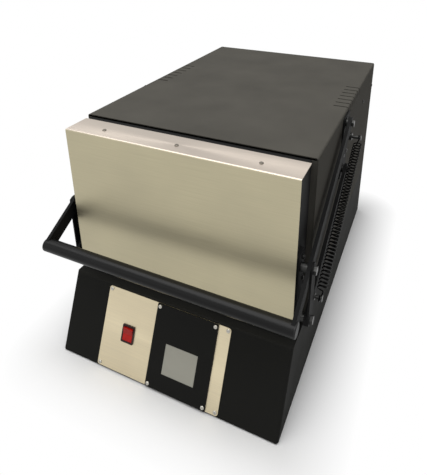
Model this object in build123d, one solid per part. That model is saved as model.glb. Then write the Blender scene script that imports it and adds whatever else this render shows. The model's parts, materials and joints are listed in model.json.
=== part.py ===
from build123d import *

import os
from math import atan2, cos, degrees, hypot, pi, radians, sin, sqrt

# A front-loading table-top ceramic kiln. Millimetres, +Z up, -Y to the front.
# The origin is on the floor, at the middle of the overall width and depth.
os.makedirs("parts", exist_ok=True)

# Casing
CASING_WIDTH = 457.0
CASING_DEPTH = 600.0
CASING_TOP = 462.0
CASING_BEND = 4.0
SKIN = 1.5

# Base box with its sloped front and its ledge under the door
BASE_NOSE = 150.0
BASE_HEIGHT = 148.0
LEDGE_DEPTH = 84.5
BASE_BEND = 5.0
FOOT_HEIGHT = 3.0
FOOT_RADIUS = 14.0
FOOT_INSET = 45.0
FLOOR_VENTS = 8
FLOOR_VENT_PITCH = 16.0
FLOOR_VENT_HALF_LENGTH = 70.0
FLOOR_VENT_SETBACK = 170.0

# Vent slots over the casing's two top edges
VENT_COUNT = 7
VENT_FIRST = 242.0
VENT_PITCH = 21.8
VENT_WIDTH = 4.0
VENT_REACH = 29.5
VENT_DROP = 14.0

# Rear cover: side flanges and two rows of louvre slots
COVER_SIDE_FLANGE = 28.0
LOUVRE_ROWS = 2
LOUVRE_COLUMNS = 9
LOUVRE_PITCH = 24.0
LOUVRE_WIDTH = 5.0
LOUVRE_HEIGHT = 56.0
LOUVRE_FIRST = 80.0
LOUVRE_ROW_RISE = 120.0

# Firebrick lining and what is round it
BRICK = 64.0
CHAMBER_HALF_WIDTH = 152.0
CHAMBER_HEIGHT = 171.5
JACKET = 1.0
FIBRE_BOARD = 12.0
BULKHEAD_SETBACK = 443.0
BULKHEAD_FLANGE = 15.0
FRAME_OVERLAP = 36.0

# Heating elements in the side walls
ELEMENT_ROWS = 4
ELEMENT_PITCH = 38.0
ELEMENT_RADIUS = 5.0
TAIL_RADIUS = 2.5
GROOVE_WIDTH = 14.0
GROOVE_DEPTH = 12.0
ELEMENT_FRONT = 42.0
ELEMENT_REAR = 24.0
ELEMENT_END = 6.0
TAIL_OVERLAP = 1.0
TAIL_CLEAR = 1.0
TAIL_REACH = 22.0
BUSHING_RADIUS = 8.0
BUSHING_LENGTH = 14.0

# Thermocouple through the back wall
SHEATH_RADIUS = 4.0
SHEATH_REACH = 26.0
SHEATH_DROP = 40.0
BLOCK_SIZE = (30.0, 18.0, 24.0)
BLOCK_WALL = 4.0

# Door: stainless cover, black case and insulation slab
DOOR_HALF_WIDTH = 221.3
DOOR_FRONT = 70.0
DOOR_TOP = 459.5
DOOR_BOTTOM = 165.0
COVER_SHEET = 1.2
COVER_BEND = 3.0
COVER_FLANGE = 56.0
COVER_LOWER_FLANGE = 20.0
CASE_INSET = 3.3
CASE_SHEET = 1.5
CASE_REAR = 2.0
SLAB_REAR = 1.0
COVER_SCREWS = (-152.0, -2.0, 150.0)
COVER_SCREW_SETBACK = 24.0
COVER_SCREW_REACH = 6.0

# Parallel linkage, in the casing's side view
PIVOT_SETBACK = 212.0
PIVOT_HEIGHT = 441.0
PIVOT_DROP = 103.0
LINK_LENGTH = 302.4
LEVER_LENGTH = 397.3
LINK_SLOPE = 30.0
BAR_WIDTH = 25.0
BAR_THICK = 6.35
BAR_OUT = 7.15
PIN_RADIUS = 5.0
COLLAR_RADIUS = 8.0
HEAD_ACROSS = 12.0
HEAD_HEIGHT = 5.0
RUNNING = 0.05
SIDE_CLEAR = 0.3
SLIDE_CLEAR = 0.3
OPEN_PIVOT_CLEAR = 0.5
PIVOT_PLATE = 3.0
PIVOT_PLATE_WIDTH = 56.0
PIVOT_PLATE_MARGIN = 18.0
PIVOT_PLATE_SHIFT = 10.0
PIVOT_PLATE_CORNER = 6.0
PLATE_BOLTS_UP = (32.0, 65.0)
PLATE_BOLTS_APART = 26.0

# Handle bar across the front
HANDLE_RADIUS = 12.7
HANDLE_WALL = 2.0
HANDLE_CAP = 2.5
HANDLE_CAP_PLUG = 12.0
PRESS = 0.02

# Door hangers inside the bars and straps outside them
HANGER_WIDTH = 30.0
HANGER_END = 15.0
HANGER_TOP = 30.0
HANGER_CORNER = 5.0
HANGER_BOLTS = (45.0, 90.0, 132.0)
HANGER_BOLT_SHIFT = 8.0
HANGER_BOLT_REACH = 14.0
STRAP_THICK = 3.0

# Counterbalance springs, one on each side
SPRING_OUT = 252.5
SPRING_RADIUS = 9.0
WIRE_RADIUS = 1.25
SPRING_TURNS = 32
WIRE_SIDES = 4
WIRE_CORNER_GROWTH = 1.25
HOOK_LENGTH = 15.0
HOOK_RADIUS = 5.0
STUD_RADIUS = 3.3
STUD_END_RADIUS = 6.0
STUD_END = 1.5
STUD_PAST_HOOK = 3.0
STUD_FLANGE = 2.5
ANCHOR_COLLAR = 10.0
ANCHOR_SETBACK = 263.0
ANCHOR_HEIGHT = 390.0
SPRING_PIN_ALONG = 265.0
SPRING_PIN_RISE = 5.0

# Control panel on the slope, measured along it from its foot
PLATE_LEFT = -143.0
PLATE_RIGHT = 117.5
PLATE_FOOT = 1.5
PLATE_LENGTH = 154.0
PLATE_SHEET = 1.2
PLATE_CORNER = 5.0
PANEL_SCREW_INSET = 5.5
WINDOW_MARGIN = 12.1
FACE_LEFT = -32.0
FACE_RIGHT = 93.5
FACE_SHEET = 2.0
SCREEN_LEFT = -2.0
SCREEN_RIGHT = 64.2
SCREEN_FOOT = 36.5
SCREEN_HEAD = 92.3
SCREEN_THICK = 1.8
SCREEN_SUNK = 0.2
FACE_CORNER = 1.5
SWITCH_ALONG = -85.5
SWITCH_UP = 81.2
SWITCH_WIDTH = 27.2
SWITCH_HEIGHT = 34.0
SWITCH_RIM = 2.0
SWITCH_WALL = 1.6
SWITCH_BODY_INSET = 1.4
SWITCH_DEPTH = 24.0
SWITCH_CORNER = 2.0
SWITCH_HOLLOW = 11.0
ROCKER_HALF_WIDTH = 10.3
ROCKER_HALF_HEIGHT = 12.3
ROCKER_TILT = 8.0
ROCKER_CLEAR = 1.5
ROCKER_SIDE_CLEAR = 0.4
TRUNNION_RADIUS = 1.5
TRUNNION_DEPTH = 1.5
TRUNNION_BEARING = 1.0
# Paddle seen from the side: shares of its half height, and distance out of its axis
PADDLE = ((-1.0, 6.4), (0.0, 4.4), (1.0, 6.4), (0.92, -3.0), (0.4, -6.5), (-0.4, -6.5), (-0.92, -3.0))

# Electronics inside the base
BOARD_SIZE = (96.0, 118.0, 1.6)
BOARD_SETBACK = 14.0
BOARD_POST_RADIUS = 3.0
BOARD_POST_INSET = 5.0
RELAY_ON_BOARD = (40.0, 26.0, 16.0)
SOCKET_ON_BOARD = (70.0, 14.0, 12.0)
RELAY_DOWN = 30.0
SOCKET_UP = 32.0
ELECTRONICS_SIDE = 60.0
ELECTRONICS_SETBACK = 60.0
TRANSFORMER_SIZE = (58.0, 46.0, 48.0)
TRANSFORMER_FOOT = (82.0, 23.0, 2.0)
WINDING_SHARE = 0.62
RELAY_SIZE = (50.0, 32.0, 42.0)
RELAY_FOOT = (70.0, 22.4, 3.0)
RELAY_TAG = (6.0, 25.6, 3.0)
RELAY_TAG_PITCH = 15.0
STRIP_SIZE = (70.0, 24.0, 20.0)
STRIP_POLES = 4
STRIP_SLOT_WIDTH = 12.0
STRIP_SLOT_DEPTH = 8.0
STRIP_SIDE = 140.0
STRIP_SETBACK = 90.0
GLAND_BORE = 6.0
GLAND_RADIUS = 11.0
GLAND_FLANGE = 14.0
GLAND_HEIGHT = 62.0
GLAND_SIDE = 150.0
GLAND_LENGTH = 22.0
GLAND_INSIDE = 12.0
GLAND_NUT = 5.0

# Screws: head radius, head height, shank radius
PANEL_SCREW = (3.2, 1.8, 1.6)
CASING_SCREW = (4.0, 2.2, 2.0)
PLATE_BOLT = (4.5, 3.0, 2.5)
SCREW_CLEAR = 0.15
SCREW_REACH = 8.0
SIDE_SCREW_HEIGHT = 404.0
SIDE_SCREW_SETBACK = 586.0
REAR_SCREW_SPACING = 190.0
FLOOR_FLANGE = 20.0

# Places worked out from the sizes above
BASE_DEPTH = BASE_NOSE + CASING_DEPTH
FLOOR_FRONT = -(BASE_DEPTH + GLAND_LENGTH) / 2
REAR = FLOOR_FRONT + BASE_DEPTH
FACE_Y = FLOOR_FRONT + BASE_NOSE
HALF = CASING_WIDTH / 2
INNER = HALF - SKIN
LEDGE_FRONT = FACE_Y - LEDGE_DEPTH
CASING_FLOOR = BASE_HEIGHT + SKIN
BRICK_HALF = CHAMBER_HALF_WIDTH + BRICK
CHAMBER_FLOOR = CASING_FLOOR + BRICK
CHAMBER_ROOF = CHAMBER_FLOOR + CHAMBER_HEIGHT
BRICK_TOP = CHAMBER_ROOF + BRICK
BRICK_FRONT = FACE_Y + SKIN
BULKHEAD = FACE_Y + BULKHEAD_SETBACK
BOARD_FRONT = BULKHEAD - FIBRE_BOARD
CHAMBER_REAR = BOARD_FRONT - BRICK
SLOPE = atan2(LEDGE_FRONT - FLOOR_FRONT, BASE_HEIGHT)
PIVOT_Y = FACE_Y + PIVOT_SETBACK
BAR_IN_X = HALF + BAR_OUT
BAR_OUT_X = BAR_IN_X + BAR_THICK
STUD_OUT_X = SPRING_OUT + STUD_PAST_HOOK


def bar_point(start_z, distance, rise=0.0):
    """A point in the side view, down the slope of the bars from a casing pivot."""
    slope = radians(LINK_SLOPE)
    y = PIVOT_Y - distance * cos(slope) - rise * sin(slope)
    z = start_z - distance * sin(slope) + rise * cos(slope)
    return y, z


UPPER_PIVOT = bar_point(PIVOT_HEIGHT, 0.0)
LOWER_PIVOT = bar_point(PIVOT_HEIGHT - PIVOT_DROP, 0.0)
UPPER_DOOR_PIN = bar_point(PIVOT_HEIGHT, LINK_LENGTH)
LOWER_DOOR_PIN = bar_point(PIVOT_HEIGHT - PIVOT_DROP, LINK_LENGTH)
HANDLE = bar_point(PIVOT_HEIGHT, LEVER_LENGTH)
ANCHOR = (FACE_Y + ANCHOR_SETBACK, ANCHOR_HEIGHT)
SPRING_PIN = bar_point(PIVOT_HEIGHT - PIVOT_DROP, SPRING_PIN_ALONG, SPRING_PIN_RISE)


def block(x0, x1, y0, y1, z0, z1):
    centre = Pos((x0 + x1) / 2, (y0 + y1) / 2, (z0 + z1) / 2)
    return centre * Box(x1 - x0, y1 - y0, z1 - z0)


def rod(radius, x0, x1, place):
    """A round bar along X through a point of the side view."""
    centre = Pos((x0 + x1) / 2, place[0], place[1])
    return centre * Rot(0, 90, 0) * Cylinder(radius, x1 - x0)


def hex_head(across, x0, x1, place):
    outline = RegularPolygon(across / 2, 6, major_radius=False)
    return Pos(x0, place[0], place[1]) * Rot(0, 90, 0) * extrude(outline, x1 - x0)


def side_prism(points, x0, x1):
    """An outline of the side view, filled and made as wide as x0 to x1."""
    outline = Polyline(*[(0, y, z) for y, z in points], close=True)
    return Pos(x0, 0, 0) * extrude(make_face(outline), x1 - x0, dir=(1, 0, 0))


SIDE_VIEW = Plane.YZ.location


def left_of(shape):
    return mirror(shape, about=Plane.YZ)


def save(node, *solids):
    export_step(Compound(children=list(solids)), f"parts/{node}.step")


def drill(part, places, radius, depth=2 * SCREW_REACH):
    for place in places:
        part = part - place * Cylinder(radius, depth)
    return part


def screw(place, sizes, reach=SCREW_REACH):
    """A domed screw on a place whose Z axis points out of the surface."""
    head_radius, head_height, shank_radius = sizes
    head = Cylinder(head_radius, head_height, align=(Align.CENTER, Align.CENTER, Align.MIN))
    head = chamfer(head.edges().group_by(Axis.Z)[-1], head_height * 0.45)
    shank = Cylinder(shank_radius, reach, align=(Align.CENTER, Align.CENTER, Align.MAX))
    return place * (head + shank)


# Places on the sloped panel, in the panel's own axes: across, up the slope, out of it
panel_plane = Plane(
    origin=(0, FLOOR_FRONT, 0), x_dir=(1, 0, 0), z_dir=(0, -cos(SLOPE), sin(SLOPE))
)
PANEL = panel_plane.location
PLATE_HEAD = PLATE_FOOT + FOOT_HEIGHT / cos(SLOPE) + PLATE_LENGTH
PLATE_START = PLATE_HEAD - PLATE_LENGTH


def on_panel(u, v, out=0.0):
    return PANEL * Pos(u, v, out)


def panel_block(u0, u1, v0, v1, out0, out1):
    middle = on_panel((u0 + u1) / 2, (v0 + v1) / 2, (out0 + out1) / 2)
    return middle * Box(u1 - u0, v1 - v0, out1 - out0)


def panel_sheet(u0, u1, out0, out1, corner):
    outline = RectangleRounded(u1 - u0, PLATE_LENGTH, corner)
    middle = on_panel((u0 + u1) / 2, (PLATE_START + PLATE_HEAD) / 2, out0)
    return middle * extrude(outline, out1 - out0)


def corner_places(u0, u1, out):
    inset = PANEL_SCREW_INSET
    return [
        on_panel(u, v, out)
        for u in (u0 + inset, u1 - inset)
        for v in (PLATE_START + inset, PLATE_HEAD - inset)
    ]


PLATE_OUT = PLATE_SHEET
FACE_OUT = PLATE_SHEET + FACE_SHEET
PLATE_SCREWS = corner_places(PLATE_LEFT, PLATE_RIGHT, PLATE_OUT)
FACE_SCREWS = corner_places(FACE_LEFT, FACE_RIGHT, FACE_OUT)
SWITCH_PLACE = on_panel(SWITCH_ALONG, SWITCH_UP)


def controller_window(out0, out1):
    """The cut-out behind the controller's faceplate."""
    return panel_block(
        FACE_LEFT + WINDOW_MARGIN, FACE_RIGHT - WINDOW_MARGIN,
        PLATE_START + WINDOW_MARGIN, PLATE_HEAD - WINDOW_MARGIN, out0, out1,
    )


def switch_body(grow, out0, out1):
    width = SWITCH_WIDTH - 2 * SWITCH_BODY_INSET + 2 * grow
    height = SWITCH_HEIGHT - 2 * SWITCH_BODY_INSET + 2 * grow
    return SWITCH_PLACE * Pos(0, 0, (out0 + out1) / 2) * Box(width, height, out1 - out0)


# Screw places on the casing's sides and rear, with Z pointing out of the surface
def side_place(y, z, x=HALF):
    return Pos(x, y, z) * Rot(0, 90, 0)


SIDE_SCREWS = [
    side_place(BULKHEAD + BULKHEAD_FLANGE / 2, SIDE_SCREW_HEIGHT),
    side_place(FACE_Y + SIDE_SCREW_SETBACK, SIDE_SCREW_HEIGHT),
]
REAR_SCREWS = [
    Pos(x * REAR_SCREW_SPACING, REAR, CASING_FLOOR + FLOOR_FLANGE / 2) * Rot(-90, 0, 0)
    for x in (-1, 0, 1)
]
plate_middle = PIVOT_Y + PIVOT_PLATE_SHIFT
PLATE_BOLTS = [
    side_place(plate_middle + shift, LOWER_PIVOT[1] + up, HALF + PIVOT_PLATE)
    for up in PLATE_BOLTS_UP
    for shift in (-PLATE_BOLTS_APART / 2, PLATE_BOLTS_APART / 2)
]


def both(places):
    return places + [left_place(place) for place in places]


def left_place(place):
    position = place.position
    return Pos(-position.X, position.Y, position.Z) * Rot(0, -90, 0)


def base_solid(inset):
    """The base box as a filled form, drawn in by inset all round."""
    lean = inset / cos(SLOPE)
    front = FLOOR_FRONT + lean
    slope_shift = (BASE_HEIGHT - inset) * (LEDGE_FRONT - FLOOR_FRONT) / BASE_HEIGHT
    foot_shift = FOOT_HEIGHT * (LEDGE_FRONT - FLOOR_FRONT) / BASE_HEIGHT
    points = [
        (front + foot_shift, FOOT_HEIGHT),
        (front + slope_shift, BASE_HEIGHT - inset),
        (REAR - inset, BASE_HEIGHT - inset),
        (REAR - inset, FOOT_HEIGHT),
    ]
    solid = side_prism(points, -HALF + inset, HALF - inset)
    sloped = solid.faces().sort_by(lambda face: face.center().Y)[0]
    upright = [edge for edge in sloped.edges() if abs((edge @ 1 - edge @ 0).X) < 1.0]
    bend = sloped.edges().group_by(Axis.Z)[-1]
    return fillet(upright + list(bend), BASE_BEND - inset)


# Base box, its floor and its feet
base_box = base_solid(0.0) - base_solid(SKIN)
base_box -= controller_window(-4 * SKIN, SKIN)
base_box -= switch_body(SCREW_CLEAR, -4 * SKIN, SKIN)
base_box = drill(base_box, PLATE_SCREWS, PANEL_SCREW[2] + SCREW_CLEAR)
base_box = drill(base_box, FACE_SCREWS, PANEL_SCREW[2] + SCREW_CLEAR)
gland_place = Pos(-GLAND_SIDE, REAR, GLAND_HEIGHT) * Rot(-90, 0, 0)
base_box = drill(base_box, [gland_place], GLAND_RADIUS + SCREW_CLEAR)
save("base_box", base_box)

plate_front = FLOOR_FRONT + FOOT_HEIGHT + 2 * SKIN
base_floor = block(
    -INNER + SLIDE_CLEAR, INNER - SLIDE_CLEAR, plate_front, REAR - SKIN - SLIDE_CLEAR,
    FOOT_HEIGHT, FOOT_HEIGHT + SKIN,
)
for row in range(FLOOR_VENTS):
    vent_y = REAR - FLOOR_VENT_SETBACK - row * FLOOR_VENT_PITCH
    base_floor -= block(
        -FLOOR_VENT_HALF_LENGTH, FLOOR_VENT_HALF_LENGTH, vent_y, vent_y + VENT_WIDTH, 0.0, 2 * FOOT_HEIGHT
    )
save("base_floor", base_floor)

feet = [
    Pos(x, y, 0) * Cylinder(FOOT_RADIUS, FOOT_HEIGHT, align=(Align.CENTER, Align.CENTER, Align.MIN))
    for x in (-HALF + FOOT_INSET, HALF - FOOT_INSET)
    for y in (FLOOR_FRONT + FOOT_INSET, REAR - FOOT_INSET)
]
save("feet", *feet)


# Casing shell, open below, in front and behind, with the vent slots over its edges
def casing_outline(inset):
    width = CASING_WIDTH - 2 * inset
    height = CASING_TOP - BASE_HEIGHT - inset
    middle = Pos(0, REAR, BASE_HEIGHT + height / 2)
    form = middle * Rot(90, 0, 0) * extrude(Rectangle(width, height), CASING_DEPTH)
    upper = form.edges().filter_by(Axis.Y).group_by(Axis.Z)[-1]
    return fillet(upper, CASING_BEND - inset)


def vent_cutter(y):
    top = SlotOverall(2 * VENT_REACH + VENT_WIDTH, VENT_WIDTH)
    side = SlotOverall(2 * VENT_DROP + VENT_WIDTH, VENT_WIDTH, rotation=90)
    over = Pos(HALF, y, CASING_TOP - VENT_DROP) * extrude(top, 2 * VENT_DROP)
    down = Pos(HALF - 2 * SKIN, y, CASING_TOP) * SIDE_VIEW * extrude(side, 4 * SKIN)
    down &= block(0, 2 * HALF, y - VENT_WIDTH, y + VENT_WIDTH, 0, CASING_TOP)
    over &= block(
        HALF - 2 * VENT_REACH, HALF + SKIN, y - VENT_WIDTH, y + VENT_WIDTH,
        CASING_TOP - 3 * SKIN, CASING_TOP + SKIN,
    )
    return over + down


casing_shell = casing_outline(0.0) - casing_outline(SKIN)
for row in range(VENT_COUNT):
    cutter = vent_cutter(FACE_Y + VENT_FIRST + row * VENT_PITCH)
    casing_shell -= cutter
    casing_shell -= left_of(cutter)
casing_shell = drill(casing_shell, both(SIDE_SCREWS), CASING_SCREW[2] + SCREW_CLEAR)
casing_shell = drill(casing_shell, both(PLATE_BOLTS), PLATE_BOLT[2] + SCREW_CLEAR)
save("casing_shell", casing_shell)

floor_rear = REAR - SKIN - SLIDE_CLEAR
casing_floor = block(-INNER, INNER, FACE_Y, floor_rear, BASE_HEIGHT, CASING_FLOOR)
casing_floor += block(
    -INNER + 3 * SKIN, INNER - 3 * SKIN, floor_rear - SKIN, floor_rear,
    BASE_HEIGHT, CASING_FLOOR + FLOOR_FLANGE,
)
casing_floor = drill(casing_floor, REAR_SCREWS, CASING_SCREW[2] + SCREW_CLEAR)
save("casing_floor", casing_floor)


def side_flanges(half, y0, y1):
    """The turned edges of a sheet that stands across the casing, one at each side."""
    top = CASING_TOP - SKIN - CASING_BEND
    right = block(half - SKIN, half, y0, y1, CASING_FLOOR, top)
    return right + left_of(right)


# Rear cover with turned flanges and two rows of louvre slots
sheet_half = INNER - SLIDE_CLEAR
sheet_top = CASING_TOP - SKIN - SLIDE_CLEAR
rear_cover = block(-sheet_half, sheet_half, REAR - SKIN, REAR, CASING_FLOOR, sheet_top)
rear_cover += side_flanges(sheet_half, REAR - COVER_SIDE_FLANGE, REAR)
for row in range(LOUVRE_ROWS):
    for column in range(LOUVRE_COLUMNS):
        vent_x = (column - (LOUVRE_COLUMNS - 1) / 2) * LOUVRE_PITCH
        vent_z = CASING_FLOOR + LOUVRE_FIRST + row * LOUVRE_ROW_RISE
        rear_cover -= block(
            vent_x - LOUVRE_WIDTH / 2, vent_x + LOUVRE_WIDTH / 2, REAR - 2 * SKIN, REAR + SKIN,
            vent_z, vent_z + LOUVRE_HEIGHT,
        )
rear_side_screws = [SIDE_SCREWS[1], left_place(SIDE_SCREWS[1])]
rear_cover = drill(rear_cover, rear_side_screws + REAR_SCREWS, CASING_SCREW[2] + SCREW_CLEAR)
rear_cover &= casing_outline(SKIN + SLIDE_CLEAR)
save("rear_cover", rear_cover)

# Bulkhead behind the lining, with flanges to the casing's sides
bulkhead = block(-sheet_half, sheet_half, BULKHEAD, BULKHEAD + SKIN, CASING_FLOOR, sheet_top)
bulkhead += side_flanges(sheet_half, BULKHEAD, BULKHEAD + BULKHEAD_FLANGE)

# Front frame round the chamber mouth
front_frame = block(
    -sheet_half, sheet_half, FACE_Y, BRICK_FRONT, CASING_FLOOR, CASING_TOP - SKIN - CASING_BEND
)
front_frame -= block(
    -CHAMBER_HALF_WIDTH - FRAME_OVERLAP, CHAMBER_HALF_WIDTH + FRAME_OVERLAP,
    FACE_Y - SKIN, BRICK_FRONT + SKIN, CHAMBER_FLOOR - FRAME_OVERLAP, CHAMBER_ROOF + FRAME_OVERLAP,
)
save("front_frame", front_frame)


# Heating element route in a side wall: rows to and fro, joined by round bends
def element_rows():
    top = (CHAMBER_FLOOR + CHAMBER_ROOF) / 2 + (ELEMENT_ROWS - 1) * ELEMENT_PITCH / 2
    return [top - row * ELEMENT_PITCH for row in range(ELEMENT_ROWS)]


def element_path(x):
    rows = element_rows()
    front = BRICK_FRONT + ELEMENT_FRONT
    rear = CHAMBER_REAR - ELEMENT_REAR
    bend = ELEMENT_PITCH / 2
    element_end = BOARD_FRONT - ELEMENT_END
    lines = [Line((x, element_end, rows[0]), (x, front, rows[0]))]
    for row in range(ELEMENT_ROWS - 1):
        at, out = (front, -bend) if row % 2 == 0 else (rear, bend)
        crown = (x, at + out, (rows[row] + rows[row + 1]) / 2)
        lines.append(ThreePointArc((x, at, rows[row]), crown, (x, at, rows[row + 1])))
        end = rear if row % 2 == 0 else front
        if row == ELEMENT_ROWS - 2:
            end = element_end
        lines.append(Line((x, at, rows[row + 1]), (x, end, rows[row + 1])))
    return Wire([line.edge() for line in lines])


def sweep_along(path, section):
    start = Plane(origin=path @ 0, z_dir=path % 0, x_dir=(1, 0, 0))
    return sweep(start * section, path=path)


element_x = CHAMBER_HALF_WIDTH + GROOVE_DEPTH - ELEMENT_RADIUS - SIDE_CLEAR
groove_x = CHAMBER_HALF_WIDTH + GROOVE_DEPTH / 2
groove = sweep_along(element_path(groove_x), Rectangle(GROOVE_DEPTH, GROOVE_WIDTH))
element = sweep_along(element_path(element_x), Circle(ELEMENT_RADIUS))
tail_ends = [(element_x, row) for row in (element_rows()[0], element_rows()[-1])]


def through_rod(x, z, radius, y0, y1):
    return Pos(x, (y0 + y1) / 2, z) * Rot(90, 0, 0) * Cylinder(radius, y1 - y0)


tail_start = BOARD_FRONT - ELEMENT_END - TAIL_OVERLAP
for x, z in tail_ends:
    element += through_rod(x, z, TAIL_RADIUS, tail_start, BULKHEAD + TAIL_REACH)
save("heating_element_right", element)
save("heating_element_left", left_of(element))

brick_right = block(CHAMBER_HALF_WIDTH, BRICK_HALF, BRICK_FRONT, BOARD_FRONT, CHAMBER_FLOOR, CHAMBER_ROOF)
brick_right -= groove
for x, z in tail_ends:
    brick_right -= through_rod(x, z, TAIL_RADIUS + TAIL_CLEAR, tail_start, BULKHEAD)
save("brick_right", brick_right)
save("brick_left", left_of(brick_right))

brick_floor = block(-BRICK_HALF, BRICK_HALF, BRICK_FRONT, BOARD_FRONT, CASING_FLOOR, CHAMBER_FLOOR)
brick_roof = block(-BRICK_HALF, BRICK_HALF, BRICK_FRONT, BOARD_FRONT, CHAMBER_ROOF, BRICK_TOP)
save("brick_floor", brick_floor)
save("brick_roof", brick_roof)

sheath_z = CHAMBER_ROOF - SHEATH_DROP
sheath_hole = through_rod(
    0, sheath_z, SHEATH_RADIUS + SIDE_CLEAR, CHAMBER_REAR - SKIN, BULKHEAD + 2 * SKIN
)
brick_back = block(
    -CHAMBER_HALF_WIDTH, CHAMBER_HALF_WIDTH, CHAMBER_REAR, BOARD_FRONT, CHAMBER_FLOOR, CHAMBER_ROOF
)
save("brick_back", brick_back - sheath_hole)

fibre_board = block(-BRICK_HALF, BRICK_HALF, BOARD_FRONT, BULKHEAD, CASING_FLOOR, BRICK_TOP) - sheath_hole
bulkhead -= sheath_hole
for side in (-1, 1):
    for x, z in tail_ends:
        tail_hole = through_rod(
            side * x, z, TAIL_RADIUS + TAIL_CLEAR, BOARD_FRONT - SKIN, BULKHEAD + 2 * SKIN
        )
        fibre_board -= tail_hole
        bulkhead -= tail_hole
bulkhead_screws = [SIDE_SCREWS[0], left_place(SIDE_SCREWS[0])]
bulkhead = drill(bulkhead, bulkhead_screws, CASING_SCREW[2] + SCREW_CLEAR)
bulkhead &= casing_outline(SKIN + SLIDE_CLEAR)
save("fibre_board", fibre_board)
save("bulkhead", bulkhead)

bushings = []
for side in (-1, 1):
    for x, z in tail_ends:
        bush = through_rod(side * x, z, BUSHING_RADIUS, BULKHEAD + SKIN, BULKHEAD + SKIN + BUSHING_LENGTH)
        bush -= through_rod(side * x, z, TAIL_RADIUS + SIDE_CLEAR, BULKHEAD, BULKHEAD + 2 * BUSHING_LENGTH)
        bushings.append(bush)
save("element_bushings", *bushings)

block_x, block_y, block_z = BLOCK_SIZE
sheath_end = BULKHEAD + SKIN + block_y - BLOCK_WALL
save("thermocouple", through_rod(0, sheath_z, SHEATH_RADIUS, CHAMBER_REAR - SHEATH_REACH, sheath_end))
thermo_block = block(
    -block_x / 2, block_x / 2, BULKHEAD + SKIN, BULKHEAD + SKIN + block_y,
    sheath_z - block_z / 2, sheath_z + block_z / 2,
)
thermo_block -= through_rod(0, sheath_z, SHEATH_RADIUS + SIDE_CLEAR, BULKHEAD, sheath_end + SIDE_CLEAR)
save("thermocouple_block", thermo_block)

# Steel jacket round the bricks
jacket_in = BRICK_HALF + SLIDE_CLEAR
jacket_top = BRICK_TOP + SLIDE_CLEAR
jacket_out = jacket_in + JACKET
inner_jacket = block(-jacket_out, jacket_out, BRICK_FRONT, BULKHEAD, CASING_FLOOR, jacket_top + JACKET)
inner_jacket -= block(-jacket_in, jacket_in, BRICK_FRONT - 1, BULKHEAD + 1, CASING_FLOOR - 1, jacket_top)
save("inner_jacket", inner_jacket)

# Control plate, controller faceplate and screen on the slope
control_plate = panel_sheet(PLATE_LEFT, PLATE_RIGHT, 0.0, PLATE_OUT, PLATE_CORNER)
control_plate -= controller_window(-1.0, PLATE_OUT + 1.0)
control_plate -= switch_body(SCREW_CLEAR, -1.0, PLATE_OUT + 1.0)
control_plate = drill(control_plate, PLATE_SCREWS + FACE_SCREWS, PANEL_SCREW[2] + SCREW_CLEAR)
save("control_plate", control_plate)
save("control_plate_screws", *[screw(place, PANEL_SCREW) for place in PLATE_SCREWS])



def screen(out):
    return panel_block(SCREEN_LEFT, SCREEN_RIGHT, SCREEN_FOOT, SCREEN_HEAD, FACE_OUT - SCREEN_THICK, out)


controller_face = panel_sheet(FACE_LEFT, FACE_RIGHT, PLATE_OUT, FACE_OUT, FACE_CORNER)
controller_face -= screen(FACE_OUT + SKIN)
controller_face = drill(controller_face, FACE_SCREWS, PANEL_SCREW[2] + SCREW_CLEAR)
save("controller_face", controller_face)
save("controller_screws", *[screw(place, PANEL_SCREW) for place in FACE_SCREWS])
save("display_screen", screen(FACE_OUT - SCREEN_SUNK))

# Power switch: housing with its rim, and the rocker paddle on two trunnions
rim_outline = RectangleRounded(SWITCH_WIDTH, SWITCH_HEIGHT, SWITCH_CORNER)
rim = SWITCH_PLACE * Pos(0, 0, PLATE_OUT) * extrude(rim_outline, SWITCH_RIM)
cavity_half_width = ROCKER_HALF_WIDTH + ROCKER_SIDE_CLEAR
cavity_half_height = ROCKER_HALF_HEIGHT + ROCKER_CLEAR
rocker_axis = SWITCH_PLACE * Pos(0, 0, -TRUNNION_DEPTH)
cavity = rocker_axis * Pos(0, 0, -SWITCH_HOLLOW) * extrude(
    Rectangle(2 * cavity_half_width, 2 * cavity_half_height), 2 * SWITCH_HOLLOW
)
trunnion_length = 2 * (cavity_half_width + TRUNNION_BEARING)
trunnion_bore = Cylinder(TRUNNION_RADIUS + RUNNING, trunnion_length + ROCKER_SIDE_CLEAR)
switch_housing = rim + switch_body(0.0, -SWITCH_DEPTH, PLATE_OUT)
switch_housing -= cavity
switch_housing -= rocker_axis * Rot(0, 90, 0) * trunnion_bore
save("switch_housing", switch_housing)

paddle_outline = Polyline(*[(0, share * ROCKER_HALF_HEIGHT, out) for share, out in PADDLE], close=True)
paddle = extrude(make_face(paddle_outline), 2 * ROCKER_HALF_WIDTH, dir=(1, 0, 0))
paddle = Pos(-ROCKER_HALF_WIDTH, 0, 0) * paddle
paddle += Rot(0, 90, 0) * Cylinder(TRUNNION_RADIUS, trunnion_length)
save("rocker_paddle", rocker_axis * Rot(ROCKER_TILT, 0, 0) * paddle)

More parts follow.
